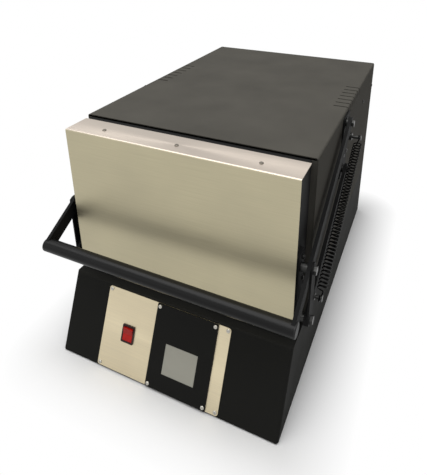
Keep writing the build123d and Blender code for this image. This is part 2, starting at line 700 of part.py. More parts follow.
# Controller board on its standoffs, behind the faceplate
board_x, board_y, board_thick = BOARD_SIZE
face_centre = on_panel((FACE_LEFT + FACE_RIGHT) / 2, (PLATE_START + PLATE_HEAD) / 2)
board = Pos(0, 0, -BOARD_SETBACK - board_thick / 2) * Box(board_x, board_y, board_thick)
post = Cylinder(BOARD_POST_RADIUS, BOARD_SETBACK + PLATE_OUT, align=(Align.CENTER, Align.CENTER, Align.MAX))
for u in (-1, 1):
    for v in (-1, 1):
        corner_x = u * (board_x / 2 - BOARD_POST_INSET)
        corner_y = v * (board_y / 2 - BOARD_POST_INSET)
        board += Pos(corner_x, corner_y, PLATE_OUT) * post
board_rear = -BOARD_SETBACK - board_thick
board += Pos(0, -RELAY_DOWN, board_rear - RELAY_ON_BOARD[2] / 2) * Box(*RELAY_ON_BOARD)
board += Pos(0, SOCKET_UP, board_rear - SOCKET_ON_BOARD[2] / 2) * Box(*SOCKET_ON_BOARD)
save("controller_board", face_centre * board)

# Transformer: a laminated core round its winding, on its foot plate
base_inside = FOOT_HEIGHT + SKIN
electronics_y = FACE_Y + ELECTRONICS_SETBACK


def stand(x, y, size, raised=0.0):
    width, depth, height = size
    low = base_inside + raised
    return block(x - width / 2, x + width / 2, y - depth / 2, y + depth / 2, low, low + height)


core_x, core_y, core_z = TRANSFORMER_SIZE
winding = (core_x * WINDING_SHARE, core_y, core_z * WINDING_SHARE)
transformer = stand(-ELECTRONICS_SIDE, electronics_y, (core_x, core_y / 2, core_z))
transformer += stand(-ELECTRONICS_SIDE, electronics_y, TRANSFORMER_FOOT)
transformer += stand(-ELECTRONICS_SIDE, electronics_y, winding, (core_z - winding[2]) / 2)
save("transformer", transformer)

power_relay = stand(ELECTRONICS_SIDE, electronics_y, RELAY_SIZE)
power_relay += stand(ELECTRONICS_SIDE, electronics_y, RELAY_FOOT)
for u in (-1, 0, 1):
    tag_x = ELECTRONICS_SIDE + u * RELAY_TAG_PITCH
    power_relay += stand(tag_x, electronics_y, RELAY_TAG, RELAY_SIZE[2])
save("power_relay", power_relay)

strip_y = REAR - STRIP_SETBACK
terminal_block = stand(-STRIP_SIDE, strip_y, STRIP_SIZE)
for pole in range(STRIP_POLES):
    slot_x = -STRIP_SIDE + STRIP_SIZE[0] * ((pole + 0.5) / STRIP_POLES - 0.5)
    slot_size = (STRIP_SLOT_WIDTH, 2 * STRIP_SIZE[1], 2 * STRIP_SLOT_DEPTH)
    terminal_block -= stand(slot_x, strip_y, slot_size, STRIP_SIZE[2] - STRIP_SLOT_DEPTH)
save("terminal_block", terminal_block)

# Cord gland in the rear wall, bare: it has no cord in it
gland_tube = Cylinder(
    GLAND_RADIUS, GLAND_LENGTH + SKIN + GLAND_INSIDE, align=(Align.CENTER, Align.CENTER, Align.MIN)
)
gland_nut = extrude(RegularPolygon(GLAND_FLANGE, 6), GLAND_NUT)
gland = Pos(0, 0, -SKIN - GLAND_INSIDE) * gland_tube
gland += gland_nut
gland += Pos(0, 0, -SKIN - GLAND_NUT) * gland_nut
gland -= Cylinder(GLAND_BORE, 4 * GLAND_LENGTH)
save("cord_gland", gland_place * gland)

# Pivot plates on the casing's sides, with their bolts
plate_y0 = plate_middle - PIVOT_PLATE_WIDTH / 2
plate_y1 = plate_middle + PIVOT_PLATE_WIDTH / 2
pivot_plate = block(
    HALF, HALF + PIVOT_PLATE, plate_y0, plate_y1,
    LOWER_PIVOT[1] - PIVOT_PLATE_MARGIN, UPPER_PIVOT[1] + PIVOT_PLATE_MARGIN - CASING_BEND,
)
pivot_plate = fillet(pivot_plate.edges().filter_by(Axis.X), PIVOT_PLATE_CORNER)
pivot_plate = drill(pivot_plate, PLATE_BOLTS, PLATE_BOLT[2] + SCREW_CLEAR)
save("pivot_plate_right", pivot_plate)
save("pivot_plate_left", left_of(pivot_plate))
save("pivot_plate_bolts", *[screw(place, PLATE_BOLT) for place in both(PLATE_BOLTS)])


def casing_pivot(place):
    """A shoulder bolt on the pivot plate, with the collar inside the bar and the head outside it."""
    start = HALF + PIVOT_PLATE
    collar = rod(COLLAR_RADIUS, start, BAR_IN_X - SIDE_CLEAR, place)
    head_in = BAR_OUT_X + SIDE_CLEAR
    shank = rod(PIN_RADIUS, start, head_in + HEAD_HEIGHT, place)
    head = hex_head(HEAD_ACROSS, head_in, head_in + HEAD_HEIGHT, place)
    return collar + shank + head


upper_bolt = casing_pivot(UPPER_PIVOT)
lower_bolt = casing_pivot(LOWER_PIVOT)
save("lever_pivot_bolts", upper_bolt, left_of(upper_bolt))
save("link_pivot_bolts", lower_bolt, left_of(lower_bolt))


# Bars of the linkage, round at their pivots
def bar(start, end, x0, x1, width=BAR_WIDTH):
    length = hypot(end[0] - start[0], end[1] - start[1])
    turn = degrees(atan2(end[1] - start[1], end[0] - start[0]))
    outline = SlotCenterToCenter(length, width)
    middle = Pos(x0, (start[0] + end[0]) / 2, (start[1] + end[1]) / 2)
    return middle * SIDE_VIEW * Rot(0, 0, turn) * extrude(outline, x1 - x0)


def pin_hole(place, clearance):
    return rod(PIN_RADIUS + clearance, BAR_IN_X - 1, BAR_OUT_X + 1, place)


lever_arm = bar(UPPER_PIVOT, HANDLE, BAR_IN_X, BAR_OUT_X)
lever_arm -= pin_hole(UPPER_PIVOT, RUNNING)
lever_arm -= pin_hole(UPPER_DOOR_PIN, RUNNING)
lever_arm -= rod(HANDLE_RADIUS + PRESS, BAR_IN_X - 1, BAR_OUT_X + 1, HANDLE)
lever_arm = lever_arm.solids().sort_by(lambda solid: solid.volume)[-1]
save("lever_arm_right", lever_arm)
save("lever_arm_left", left_of(lever_arm))

handle_bar = rod(HANDLE_RADIUS, -BAR_OUT_X, BAR_OUT_X, HANDLE)
handle_bar -= rod(HANDLE_RADIUS - HANDLE_WALL, -BAR_OUT_X - 1, BAR_OUT_X + 1, HANDLE)
save("handle_bar", handle_bar)
cap = rod(HANDLE_RADIUS, BAR_OUT_X, BAR_OUT_X + HANDLE_CAP, HANDLE)
cap = fillet(cap.edges().group_by(Axis.X)[-1], HANDLE_CAP * 0.8)
cap += rod(HANDLE_RADIUS - HANDLE_WALL, BAR_OUT_X - HANDLE_CAP_PLUG, BAR_OUT_X, HANDLE)
save("handle_caps", cap, left_of(cap))

link = bar(LOWER_PIVOT, LOWER_DOOR_PIN, BAR_IN_X, BAR_OUT_X)
link -= pin_hole(LOWER_PIVOT, RUNNING)
link -= pin_hole(LOWER_DOOR_PIN, OPEN_PIVOT_CLEAR)
save("link_right", link)
save("link_left", left_of(link))


# Studs that hold the springs, each with a flange inside and a disc past the hook
def spring_stud(start, place):
    stem = rod(STUD_RADIUS, start, STUD_OUT_X, place)
    return stem + rod(STUD_END_RADIUS, STUD_OUT_X, STUD_OUT_X + STUD_END, place)


spring_pin = spring_stud(BAR_OUT_X, SPRING_PIN)
spring_pin += rod(STUD_END_RADIUS, BAR_OUT_X, BAR_OUT_X + STUD_FLANGE, SPRING_PIN)
save("spring_pin_right", spring_pin)
save("spring_pin_left", left_of(spring_pin))
anchor = spring_stud(HALF, ANCHOR)
anchor += rod(COLLAR_RADIUS, HALF, HALF + ANCHOR_COLLAR, ANCHOR)
save("spring_anchors", anchor, left_of(anchor))


# Springs: one wire from hook to hook on biarcs
def biarc(start, start_dir, end, end_dir):
    chord = end - start
    both_dirs = start_dir + end_dir
    spread = 1 - start_dir.dot(end_dir)
    along = chord.dot(both_dirs)
    if spread < 1e-9:
        reach = chord.dot(chord) / (2 * along)
    else:
        reach = (sqrt(along**2 + 2 * spread * chord.dot(chord)) - along) / (2 * spread)
    joint = (start + end + (start_dir - end_dir) * reach) * 0.5
    joint_dir = ((end - end_dir * reach) - (start + start_dir * reach)).normalized()
    return [Edge.make_tangent_arc(start, start_dir, joint), Edge.make_tangent_arc(joint, joint_dir, end)]


def spring_stations(length):
    """Points and directions along the spring, from the hook at 0 to the hook at length."""
    mean = SPRING_RADIUS - WIRE_RADIUS
    coil = length - 2 * HOOK_LENGTH
    rise = coil / (2 * pi * SPRING_TURNS)
    stations = [
        (Vector(0, -HOOK_RADIUS, 0), Vector(-1, 0, 0)),
        (Vector(-HOOK_RADIUS, 0, 0), Vector(0, 1, 0)),
        (Vector(0, HOOK_RADIUS, 0), Vector(1, 0, 0)),
    ]
    for half_turn in range(2 * SPRING_TURNS + 1):
        turn = pi * half_turn
        point = Vector(HOOK_LENGTH + rise * turn, mean * cos(turn), mean * sin(turn))
        direction = Vector(rise, -mean * sin(turn), mean * cos(turn)).normalized()
        stations.append((point, direction))
    stations.append((Vector(length, HOOK_RADIUS, 0), Vector(1, 0, 0)))
    stations.append((Vector(length + HOOK_RADIUS, 0, 0), Vector(0, -1, 0)))
    stations.append((Vector(length, -HOOK_RADIUS, 0), Vector(-1, 0, 0)))
    return stations


spring_length = hypot(ANCHOR[0] - SPRING_PIN[0], ANCHOR[1] - SPRING_PIN[1])
edges = []
stations = spring_stations(spring_length)
for (point, direction), (next_point, next_direction) in zip(stations, stations[1:]):
    edges += biarc(point, direction, next_point, next_direction)
spring_wire = Wire(edges)
wire_outline = RegularPolygon(WIRE_RADIUS * WIRE_CORNER_GROWTH, WIRE_SIDES)
wire_start = Plane(origin=stations[0][0], z_dir=stations[0][1])
spring = sweep(wire_start * wire_outline, path=spring_wire)
spring_turn = degrees(atan2(SPRING_PIN[1] - ANCHOR[1], SPRING_PIN[0] - ANCHOR[0]))
spring_right = Pos(SPRING_OUT, ANCHOR[0], ANCHOR[1]) * SIDE_VIEW * Rot(0, 0, spring_turn) * spring
save("spring_right", spring_right)
save("spring_left", Pos(-2 * SPRING_OUT, 0, 0) * spring_right)


def least_gap():
    """The least gap of the spring's wire to itself, measured on points of its route."""
    count = 6 * len(edges)
    points = [spring_wire @ (step / count) for step in range(count + 1)]
    step_length = spring_wire.length / count
    apart = int(6 * WIRE_RADIUS / step_length) + 1
    least = spring_length
    for index, point in enumerate(points):
        for other in points[index + apart : index + 60]:
            least = min(least, (point - other).length)
    return least - 2 * WIRE_RADIUS


print("spring: least gap to itself", round(least_gap(), 2), "mm, length", round(spring_length, 1), "mm")

# Door cover: stainless sheet over the front, the top and a little of the bottom
door_front = FACE_Y - DOOR_FRONT
cover_rear = door_front + COVER_FLANGE
case_front = door_front + COVER_SHEET
case_bottom = DOOR_BOTTOM + COVER_SHEET
case_top = DOOR_TOP - COVER_SHEET
cover_outer = block(-DOOR_HALF_WIDTH, DOOR_HALF_WIDTH, door_front, cover_rear, DOOR_BOTTOM, DOOR_TOP)
cover_inner = block(-DOOR_HALF_WIDTH, DOOR_HALF_WIDTH, case_front, cover_rear, case_bottom, case_top)


def bend_front(solid, radius):
    across = solid.edges().filter_by(Axis.X).group_by(Axis.Y)[0]
    return fillet(across, radius)


door_cover = bend_front(cover_outer, COVER_BEND) - bend_front(cover_inner, COVER_BEND - COVER_SHEET)
door_cover -= block(
    -DOOR_HALF_WIDTH - 1, DOOR_HALF_WIDTH + 1, door_front + COVER_LOWER_FLANGE,
    cover_rear + 1, DOOR_BOTTOM - 1, DOOR_BOTTOM + 2 * COVER_SHEET,
)
cover_places = [Pos(x, door_front + COVER_SCREW_SETBACK, DOOR_TOP) for x in COVER_SCREWS]
door_cover = drill(door_cover, cover_places, PANEL_SCREW[2] + SCREW_CLEAR)
save("door_cover", door_cover)
save("door_cover_screws", *[screw(place, PANEL_SCREW, COVER_SCREW_REACH) for place in cover_places])

# Door case: a steel pan open to the chamber, and the slab in it
case_half = DOOR_HALF_WIDTH - CASE_INSET
case_rear = FACE_Y - CASE_REAR
slab_half = case_half - CASE_SHEET


def pan_filling(rear):
    return block(
        -slab_half, slab_half, case_front + CASE_SHEET, rear, case_bottom + CASE_SHEET, case_top - CASE_SHEET
    )


door_case = block(-case_half, case_half, case_front, case_rear, case_bottom, case_top)
door_case = bend_front(door_case, COVER_BEND - COVER_SHEET)
door_case -= pan_filling(case_rear + CASE_SHEET)
door_case = drill(door_case, cover_places, PANEL_SCREW[2] + SCREW_CLEAR)
slab = drill(pan_filling(FACE_Y - SLAB_REAR), cover_places, PANEL_SCREW[2] + SCREW_CLEAR)
hanger_out = case_half + BAR_THICK
hanger_foot = LOWER_DOOR_PIN[1] - HANGER_END
hanger_head = UPPER_DOOR_PIN[1] + HANGER_TOP
hanger_middle = UPPER_DOOR_PIN[0]
hanger_places = [
    side_place(hanger_middle + HANGER_BOLT_SHIFT, hanger_foot + up, hanger_out)
    for up in HANGER_BOLTS
]
hanger_bore = (PLATE_BOLT[2] + SCREW_CLEAR, 4 * SCREW_REACH)
door_case = drill(door_case, both(hanger_places), *hanger_bore)
slab = drill(slab, both(hanger_places), *hanger_bore)
save("door_case", door_case)
save("door_insulation", slab)

# Hangers on the door's sides, straps outside the bars, and the pins through both
hanger_outline = Pos(hanger_middle, (hanger_foot + hanger_head) / 2) * RectangleRounded(
    HANGER_WIDTH, hanger_head - hanger_foot, HANGER_CORNER
)
hanger = Pos(case_half, 0, 0) * SIDE_VIEW * extrude(hanger_outline, BAR_THICK)
hanger = drill(hanger, hanger_places, *hanger_bore)
save("door_hanger_right", hanger)
save("door_hanger_left", left_of(hanger))
hanger_bolts = [screw(place, PLATE_BOLT, HANGER_BOLT_REACH) for place in both(hanger_places)]
save("door_hanger_bolts", *hanger_bolts)

strap_in = BAR_OUT_X + SIDE_CLEAR
strap = bar(LOWER_DOOR_PIN, UPPER_DOOR_PIN, strap_in, strap_in + STRAP_THICK)
for place in (UPPER_DOOR_PIN, LOWER_DOOR_PIN):
    strap -= rod(PIN_RADIUS + PRESS, strap_in - 1, strap_in + STRAP_THICK + 1, place)
save("door_straps", strap, left_of(strap))


def door_pin(place):
    """A shoulder bolt on the hanger, through the bar and the strap."""
    head_in = strap_in + STRAP_THICK
    collar = rod(COLLAR_RADIUS, hanger_out, BAR_IN_X - SIDE_CLEAR, place)
    shank = rod(PIN_RADIUS, hanger_out, head_in + HEAD_HEIGHT, place)
    head = hex_head(HEAD_ACROSS + 2.0, head_in, head_in + HEAD_HEIGHT, place)
    return collar + shank + head


upper_pin = door_pin(UPPER_DOOR_PIN)
lower_pin = door_pin(LOWER_DOOR_PIN)
save("door_pivot_pins", upper_pin, left_of(upper_pin), lower_pin, left_of(lower_pin))

# Screws of the casing
save("casing_side_screws", *[screw(place, CASING_SCREW) for place in both(SIDE_SCREWS)])
save("rear_cover_screws", *[screw(place, CASING_SCREW) for place in REAR_SCREWS])

# Places for the record, in metres
for name, point in (
    ("lever pivot", UPPER_PIVOT), ("link pivot", LOWER_PIVOT), ("door pin", UPPER_DOOR_PIN),
    ("open pin", LOWER_DOOR_PIN), ("handle", HANDLE), ("spring anchor", ANCHOR), ("spring pin", SPRING_PIN),
):
    print(name, [round(value / 1000, 6) for value in point])
rocker_centre = rocker_axis.position
print("rocker axis", [round(value / 1000, 6) for value in rocker_centre])
print("chamber", CHAMBER_HALF_WIDTH, BRICK_FRONT, CHAMBER_REAR, CHAMBER_FLOOR, CHAMBER_ROOF)
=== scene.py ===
import json
import math

import bmesh
import bpy
from bpy.props import FloatProperty, FloatVectorProperty, IntProperty, PointerProperty
from bpy.types import Operator, Panel, PropertyGroup
from mathutils import Euler, Matrix, Vector


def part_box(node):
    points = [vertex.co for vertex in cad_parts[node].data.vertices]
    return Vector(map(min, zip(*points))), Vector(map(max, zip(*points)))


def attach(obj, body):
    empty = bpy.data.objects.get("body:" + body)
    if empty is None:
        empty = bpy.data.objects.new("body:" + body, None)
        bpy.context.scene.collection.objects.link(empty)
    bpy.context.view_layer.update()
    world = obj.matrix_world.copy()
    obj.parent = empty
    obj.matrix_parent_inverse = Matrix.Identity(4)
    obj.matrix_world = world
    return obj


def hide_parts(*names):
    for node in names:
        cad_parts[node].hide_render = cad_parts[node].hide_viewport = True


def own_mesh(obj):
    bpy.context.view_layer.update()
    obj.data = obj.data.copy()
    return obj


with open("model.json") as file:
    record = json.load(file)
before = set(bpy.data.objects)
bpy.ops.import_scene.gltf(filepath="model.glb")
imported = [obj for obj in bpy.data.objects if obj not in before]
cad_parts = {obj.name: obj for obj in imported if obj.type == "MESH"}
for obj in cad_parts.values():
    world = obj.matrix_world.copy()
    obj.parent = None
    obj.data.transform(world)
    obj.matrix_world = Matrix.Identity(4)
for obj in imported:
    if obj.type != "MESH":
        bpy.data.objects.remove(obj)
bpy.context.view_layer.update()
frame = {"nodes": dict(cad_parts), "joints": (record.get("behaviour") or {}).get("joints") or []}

bl_info = {
    "name": "Ceramic Kiln Looks",
    "version": (1, 0, 0),
    "blender": (4, 5, 0),
    "location": "3D View > Sidebar > Kiln",
    "description": "Dresses the packed ceramic kiln: finishes, screws, springs, heating coils and studio",
    "category": "Object",
}

MM = 0.001
NODES = frame["nodes"]
JOINTS = {joint["name"]: joint for joint in frame["joints"]}
WHITE = (1.0, 1.0, 1.0, 1.0)


def linear(hex_colour):
    """An sRGB hex colour as linear red, green and blue."""
    channels = []
    for start in (0, 2, 4):
        value = int(hex_colour[start:start + 2], 16) / 255
        channels.append(value / 12.92 if value <= 0.04045 else ((value + 0.055) / 1.055) ** 2.4)
    return tuple(channels)


def rgba(colour):
    """The colour with full cover, as a node's colour socket takes it."""
    return (colour[0], colour[1], colour[2], 1.0)


def colour_property(name, description, hex_colour):
    return FloatVectorProperty(
        name=name, description=description, default=linear(hex_colour), subtype="COLOR", min=0.0, max=1.0
    )


def length_property(name, description, millimetres):
    return FloatProperty(
        name=name, description=description, default=millimetres * MM, min=0.0,
        subtype="DISTANCE", unit="LENGTH",
    )


class KilnFinishSettings(PropertyGroup):
    powder: colour_property("Powder coat", "Textured black powder coat of the casing", "4a4843")
    base: colour_property("Base coat", "Smooth black powder coat of the base box", "1a1a18")
    bars: colour_property("Linkage paint", "Satin paint of the bars and brackets", "111111")
    stainless: colour_property("Door stainless", "Brushed stainless of the door cover", "bcb498")
    panel: colour_property("Panel stainless", "Brushed stainless of the control plate", "d6caad")
    handle: colour_property("Handle", "Satin black of the handle tube", "0f0f0f")
    faceplate: colour_property("Faceplate", "Matt black film of the controller", "10100e")
    screen: colour_property("Screen", "Grey window of the display", "a3a194")
    rocker: colour_property("Rocker", "Red moulded paddle of the power switch", "b81f18")
    brick: colour_property("Firebrick", "Insulating firebrick of the chamber", "e6dcc8")


class KilnSpringSettings(PropertyGroup):
    turns: IntProperty(
        name="Turns", description="Turns of each counterbalance spring", default=45, min=3, max=80
    )
    coil_radius: length_property("Coil radius", "From the spring's axis to the middle of its wire", 7.75)
    wire_radius: length_property("Wire radius", "Radius of the spring wire", 1.25)
    hook_radius: length_property("Hook radius", "From the stud's axis to the middle of the hook", 5.4)
    hook_length: length_property("Hook length", "From the stud's axis to the first turn", 15.0)


class KilnElementSettings(PropertyGroup):
    pitch: length_property("Pitch", "Distance between two turns of the resistance wire", 3.8)
    coil_radius: length_property("Coil radius", "From the element's line to the middle of its wire", 4.1)
    wire_radius: length_property("Wire radius", "Radius of the resistance wire", 0.8)


class KilnScrewSettings(PropertyGroup):
    panel_radius: length_property("Panel screw", "Head radius of the small pan-head screws", 3.7)
    panel_height: length_property("Panel screw height", "Head height of the small pan-head screws", 1.8)
    casing_radius: length_property("Casing screw", "Head radius of the casing's screws", 4.0)
    casing_height: length_property("Casing screw height", "Head height of the casing's screws", 2.2)
    plate_radius: length_property("Plate bolt", "Head radius of the button-head bolts", 4.5)
    plate_height: length_property("Plate bolt height", "Head height of the button-head bolts", 3.0)


class KilnStageSettings(PropertyGroup):
    lens: FloatProperty(
        name="Lens", description="Focal length of the camera in mm", default=34.5347, min=10, max=200
    )
    key_power: FloatProperty(
        name="Key light", description="Power of the lamp above in watts", default=84.0, min=0, max=2000
    )
    fill_power: FloatProperty(
        name="Fill light", description="Power of the lamp in front in watts", default=3.0, min=0, max=2000
    )
    world: FloatProperty(
        name="World", description="Strength of the room's own light", default=0.28, min=0, max=5
    )


# Materials


def add(tree, kind, settings=None, inputs=None, stops=()):
    """Adds one node with its settings, its inputs by name or place, and the stops of a colour ramp.

    An input takes a value, a socket, or a node, whose first output in use is linked.
    """
    made = tree.nodes.new(kind)
    for name, value in (settings or {}).items():
        setattr(made, name, value)
    for name, value in (inputs or {}).items():
        if isinstance(value, bpy.types.Node):
            value = next(socket for socket in value.outputs if socket.enabled)
        if isinstance(value, bpy.types.NodeSocket):
            tree.links.new(value, made.inputs[name])
        else:
            made.inputs[name].default_value = value
    for index, (place, colour) in enumerate(stops):
        made.color_ramp.elements[index].position = place
        made.color_ramp.elements[index].color = rgba(colour)
    return made


def new_material(name):
    """An empty material and its node tree."""
    material = bpy.data.materials.new(name)
    material.use_nodes = True
    material.node_tree.nodes.clear()
    return material, material.node_tree


def lay_surface(tree, inputs):
    """Ends a material in its one surface."""
    surface = add(tree, "ShaderNodeBsdfPrincipled", inputs=inputs)
    add(tree, "ShaderNodeOutputMaterial", inputs={"Surface": surface})


def own_space(tree, stretch=(1.0, 1.0, 1.0)):
    """The piece's own coordinates in metres, stretched along an axis where a pattern runs along it."""
    coordinates = add(tree, "ShaderNodeTexCoord")
    return add(tree, "ShaderNodeMapping", inputs={"Vector": coordinates.outputs["Object"], "Scale": stretch})


def per_metre(millimetres):
    """The scale of a pattern whose features are about this large."""
    return 1.0 / (millimetres * MM)


# Most of a noise lies between these two values
NOISE_LOW = 0.3
NOISE_HIGH = 0.7


def tones(colour, darkest, lightest):
    """Stops of a ramp over a noise, from the darkest to the lightest share of the colour."""
    low, high = (tuple(channel * share for channel in colour) for share in (darkest, lightest))
    return ((NOISE_LOW, low), (NOISE_HIGH, high))

# The sizes of the patterns are in millimetres
PEEL_SIZE = 1.6
HAND_MARK_SIZE = 90.0


def powder_coat(name, colour, roughness, specular):
    """Polyester powder coat on steel: an even satin black with fine orange peel and faint hand marks."""
    material, tree = new_material(name)
    space = own_space(tree)
    peel = add(
        tree, "ShaderNodeTexNoise", inputs={"Vector": space, "Scale": per_metre(PEEL_SIZE), "Detail": 1.0}
    )
    marks = add(
        tree, "ShaderNodeTexNoise",
        inputs={"Vector": space, "Scale": per_metre(HAND_MARK_SIZE), "Detail": 3.0},
    )
    tone = add(
        tree, "ShaderNodeValToRGB", inputs={"Fac": marks},
        stops=tones(colour, darkest=0.88, lightest=1.12),
    )
    gloss = add(
        tree, "ShaderNodeMapRange",
        inputs={
            "Value": marks, "From Min": 0.35, "From Max": 0.65,
            "To Min": roughness - 0.04, "To Max": roughness + 0.05,
        },
    )
    relief = add(tree, "ShaderNodeBump", inputs={"Height": peel, "Strength": 0.12, "Distance": 0.25 * MM})
    lay_surface(tree, {
        "Base Color": tone, "Roughness": gloss, "Normal": relief, "IOR": 1.5, "Specular IOR Level": specular,
    })
    return material


# The real lines are 0.1 mm apart; these are as fine as shows at the picture's size
BRUSH_LINE_SIZE = 1.1
BRUSH_STRETCH = 0.012
ROLLING_CLOUD_SIZE = 120.0
CLOUD_TINT = (0.93, 0.93, 0.94)
BARE = (1.0, 1.0, 1.0)
# Painted reflection: the top of the door cover is greyer, for the white light above it; this colour fades in
# between these depths below its top
TOP_TINT_DEPTH = 2.0 * MM
TOP_TINT_EDGE = 0.3 * MM


def brushed_stainless(name, colour, roughness, painted_top_tint=None):
    """Stainless sheet brushed from side to side: fine lines that spread each reflection across them.

    The last argument is the height of the sheet's top and a greyer colour painted on its top: a painted
    reflection of the white light above, greyer than the brushed front.
    """
    material, tree = new_material(name)
    along = own_space(tree, (BRUSH_STRETCH, 1.0, 1.0))
    lines = add(
        tree, "ShaderNodeTexNoise",
        inputs={"Vector": along, "Scale": per_metre(BRUSH_LINE_SIZE), "Detail": 3.0},
    )
    clouds = add(
        tree, "ShaderNodeTexNoise",
        inputs={"Vector": own_space(tree), "Scale": per_metre(ROLLING_CLOUD_SIZE), "Detail": 2.0},
    )
    tone = add(
        tree, "ShaderNodeValToRGB", inputs={"Fac": lines},
        stops=tones(colour, darkest=0.93, lightest=1.05),
    )
    # Painted reflection: the top of the sheet turns to the greyer colour, for the white light above
    if painted_top_tint:
        height, top_tint_colour = painted_top_tint
        place = add(tree, "ShaderNodeSeparateXYZ", inputs={"Vector": own_space(tree)})
        top_tint_share = add(
            tree, "ShaderNodeMapRange",
            inputs={
                "Value": place.outputs["Z"],
                "From Min": height - TOP_TINT_DEPTH,
                "From Max": height - TOP_TINT_EDGE,
            },
        )
        tone = add(
            tree, "ShaderNodeMix", {"data_type": "RGBA"}, {"Factor": top_tint_share, "A": tone, "B": rgba(top_tint_colour)}
        )
    tint = add(
        tree, "ShaderNodeValToRGB", inputs={"Fac": clouds},
        stops=((NOISE_LOW, CLOUD_TINT), (NOISE_HIGH, BARE)),
    )
    tinted = add(
        tree, "ShaderNodeMix", {"data_type": "RGBA", "blend_type": "MULTIPLY"},
        {"Factor": 1.0, "A": tone, "B": tint},
    )
    gloss = add(
        tree, "ShaderNodeMapRange",
        inputs={
            "Value": lines, "From Min": NOISE_LOW, "From Max": NOISE_HIGH,
            "To Min": roughness - 0.05, "To Max": roughness + 0.07,
        },
    )
    relief = add(tree, "ShaderNodeBump", inputs={"Height": lines, "Strength": 0.1, "Distance": 0.06 * MM})
    lay_surface(tree, {
        "Base Color": tinted, "Metallic": 1.0, "Roughness": gloss, "Normal": relief, "Anisotropic": 0.45,
    })
    return material


def bare_steel(name, colour, roughness, stain_size):
    """Plated or oiled steel: a dull metal with small stains."""
    material, tree = new_material(name)
    stains = add(
        tree, "ShaderNodeTexNoise",
        inputs={"Vector": own_space(tree), "Scale": per_metre(stain_size), "Detail": 3.0},
    )
    tone = add(
        tree, "ShaderNodeValToRGB", inputs={"Fac": stains},
        stops=tones(colour, darkest=0.8, lightest=1.1),
    )
    gloss = add(
        tree, "ShaderNodeMapRange",
        inputs={
            "Value": stains, "From Min": NOISE_LOW, "From Max": NOISE_HIGH,
            "To Min": roughness - 0.06, "To Max": roughness + 0.1,
        },
    )
    relief = add(tree, "ShaderNodeBump", inputs={"Height": stains, "Strength": 0.05, "Distance": 0.1 * MM})
    lay_surface(tree, {"Base Color": tone, "Metallic": 1.0, "Roughness": gloss, "Normal": relief})
    return material


# A real grain is finer than 0.1 mm; this is as fine as shows at the picture's size
MOULD_GRAIN_SIZE = 0.7
MOULD_FLOW_SIZE = 14.0


def moulded(name, colour, roughness, specular=0.3):
    """Plastic or rubber: even in colour, with a fine satin grain from its mould."""
    material, tree = new_material(name)
    space = own_space(tree)
    grain = add(
        tree, "ShaderNodeTexNoise",
        inputs={"Vector": space, "Scale": per_metre(MOULD_GRAIN_SIZE), "Detail": 1.0},
    )
    flow = add(
        tree, "ShaderNodeTexNoise",
        inputs={"Vector": space, "Scale": per_metre(MOULD_FLOW_SIZE), "Detail": 2.0},
    )
    tone = add(
        tree, "ShaderNodeValToRGB", inputs={"Fac": flow},
        stops=tones(colour, darkest=0.93, lightest=1.06),
    )
    gloss = add(
        tree, "ShaderNodeMapRange",
        inputs={
            "Value": grain, "From Min": NOISE_LOW, "From Max": NOISE_HIGH,
            "To Min": roughness - 0.04, "To Max": roughness + 0.05,
        },
    )
    relief = add(tree, "ShaderNodeBump", inputs={"Height": grain, "Strength": 0.08, "Distance": 0.05 * MM})
    lay_surface(tree, {
        "Base Color": tone, "Roughness": gloss, "Normal": relief, "IOR": 1.46, "Specular IOR Level": specular,
    })
    return material


# The largest pores; the many finer ones don't show at the picture's size
PORE_SIZE = 3.2
CLAY_CLOUD_SIZE = 22.0
PORE_TINT = (0.72, 0.66, 0.58)


def insulating_brick(name, colour):
    """Insulating firebrick: pale clay full of burnt-out pores, tan and darker in the pits that the bump
    sinks.
    """
    material, tree = new_material(name)
    space = own_space(tree)
    pores = add(
        tree, "ShaderNodeTexVoronoi", {"feature": "F1"},
        {"Vector": space, "Scale": per_metre(PORE_SIZE), "Randomness": 1.0},
    )
    pits = add(
        tree, "ShaderNodeMapRange",
        inputs={"Value": pores.outputs["Distance"], "From Min": 0.12, "From Max": 0.42},
    )
    clouds = add(
        tree, "ShaderNodeTexNoise",
        inputs={"Vector": space, "Scale": per_metre(CLAY_CLOUD_SIZE), "Detail": 4.0, "Roughness": 0.6},
    )
    clay = add(
        tree, "ShaderNodeValToRGB", inputs={"Fac": clouds},
        stops=tones(colour, darkest=0.82, lightest=1.03),
    )
    # The pits that the bump sinks are tan and darker
    pit_tone = add(tree, "ShaderNodeValToRGB", inputs={"Fac": pits}, stops=((0.0, PORE_TINT), (0.8, BARE)))
    pitted = add(
        tree, "ShaderNodeMix", {"data_type": "RGBA", "blend_type": "MULTIPLY"},
        {"Factor": 1.0, "A": clay, "B": pit_tone},
    )
    relief = add(tree, "ShaderNodeBump", inputs={"Height": pits, "Strength": 0.6, "Distance": 0.8 * MM})
    lay_surface(tree, {"Base Color": pitted, "Roughness": 0.95, "Normal": relief, "IOR": 1.5})
    return material


CERAMIC_MOTTLE_SIZE = 5.0


def fired_ceramic(name, colour):
    """Steatite or fibre board: chalky white with a faint mottle."""
    material, tree = new_material(name)
    mottle = add(
        tree, "ShaderNodeTexNoise",
        inputs={"Vector": own_space(tree), "Scale": per_metre(CERAMIC_MOTTLE_SIZE), "Detail": 3.0},
    )
    tone = add(
        tree, "ShaderNodeValToRGB", inputs={"Fac": mottle},
        stops=tones(colour, darkest=0.9, lightest=1.0),
    )
    relief = add(tree, "ShaderNodeBump", inputs={"Height": mottle, "Strength": 0.15, "Distance": 0.2 * MM})
    lay_surface(tree, {"Base Color": tone, "Roughness": 0.75, "Normal": relief})
    return material


WINDOW_HAZE_SIZE = 40.0


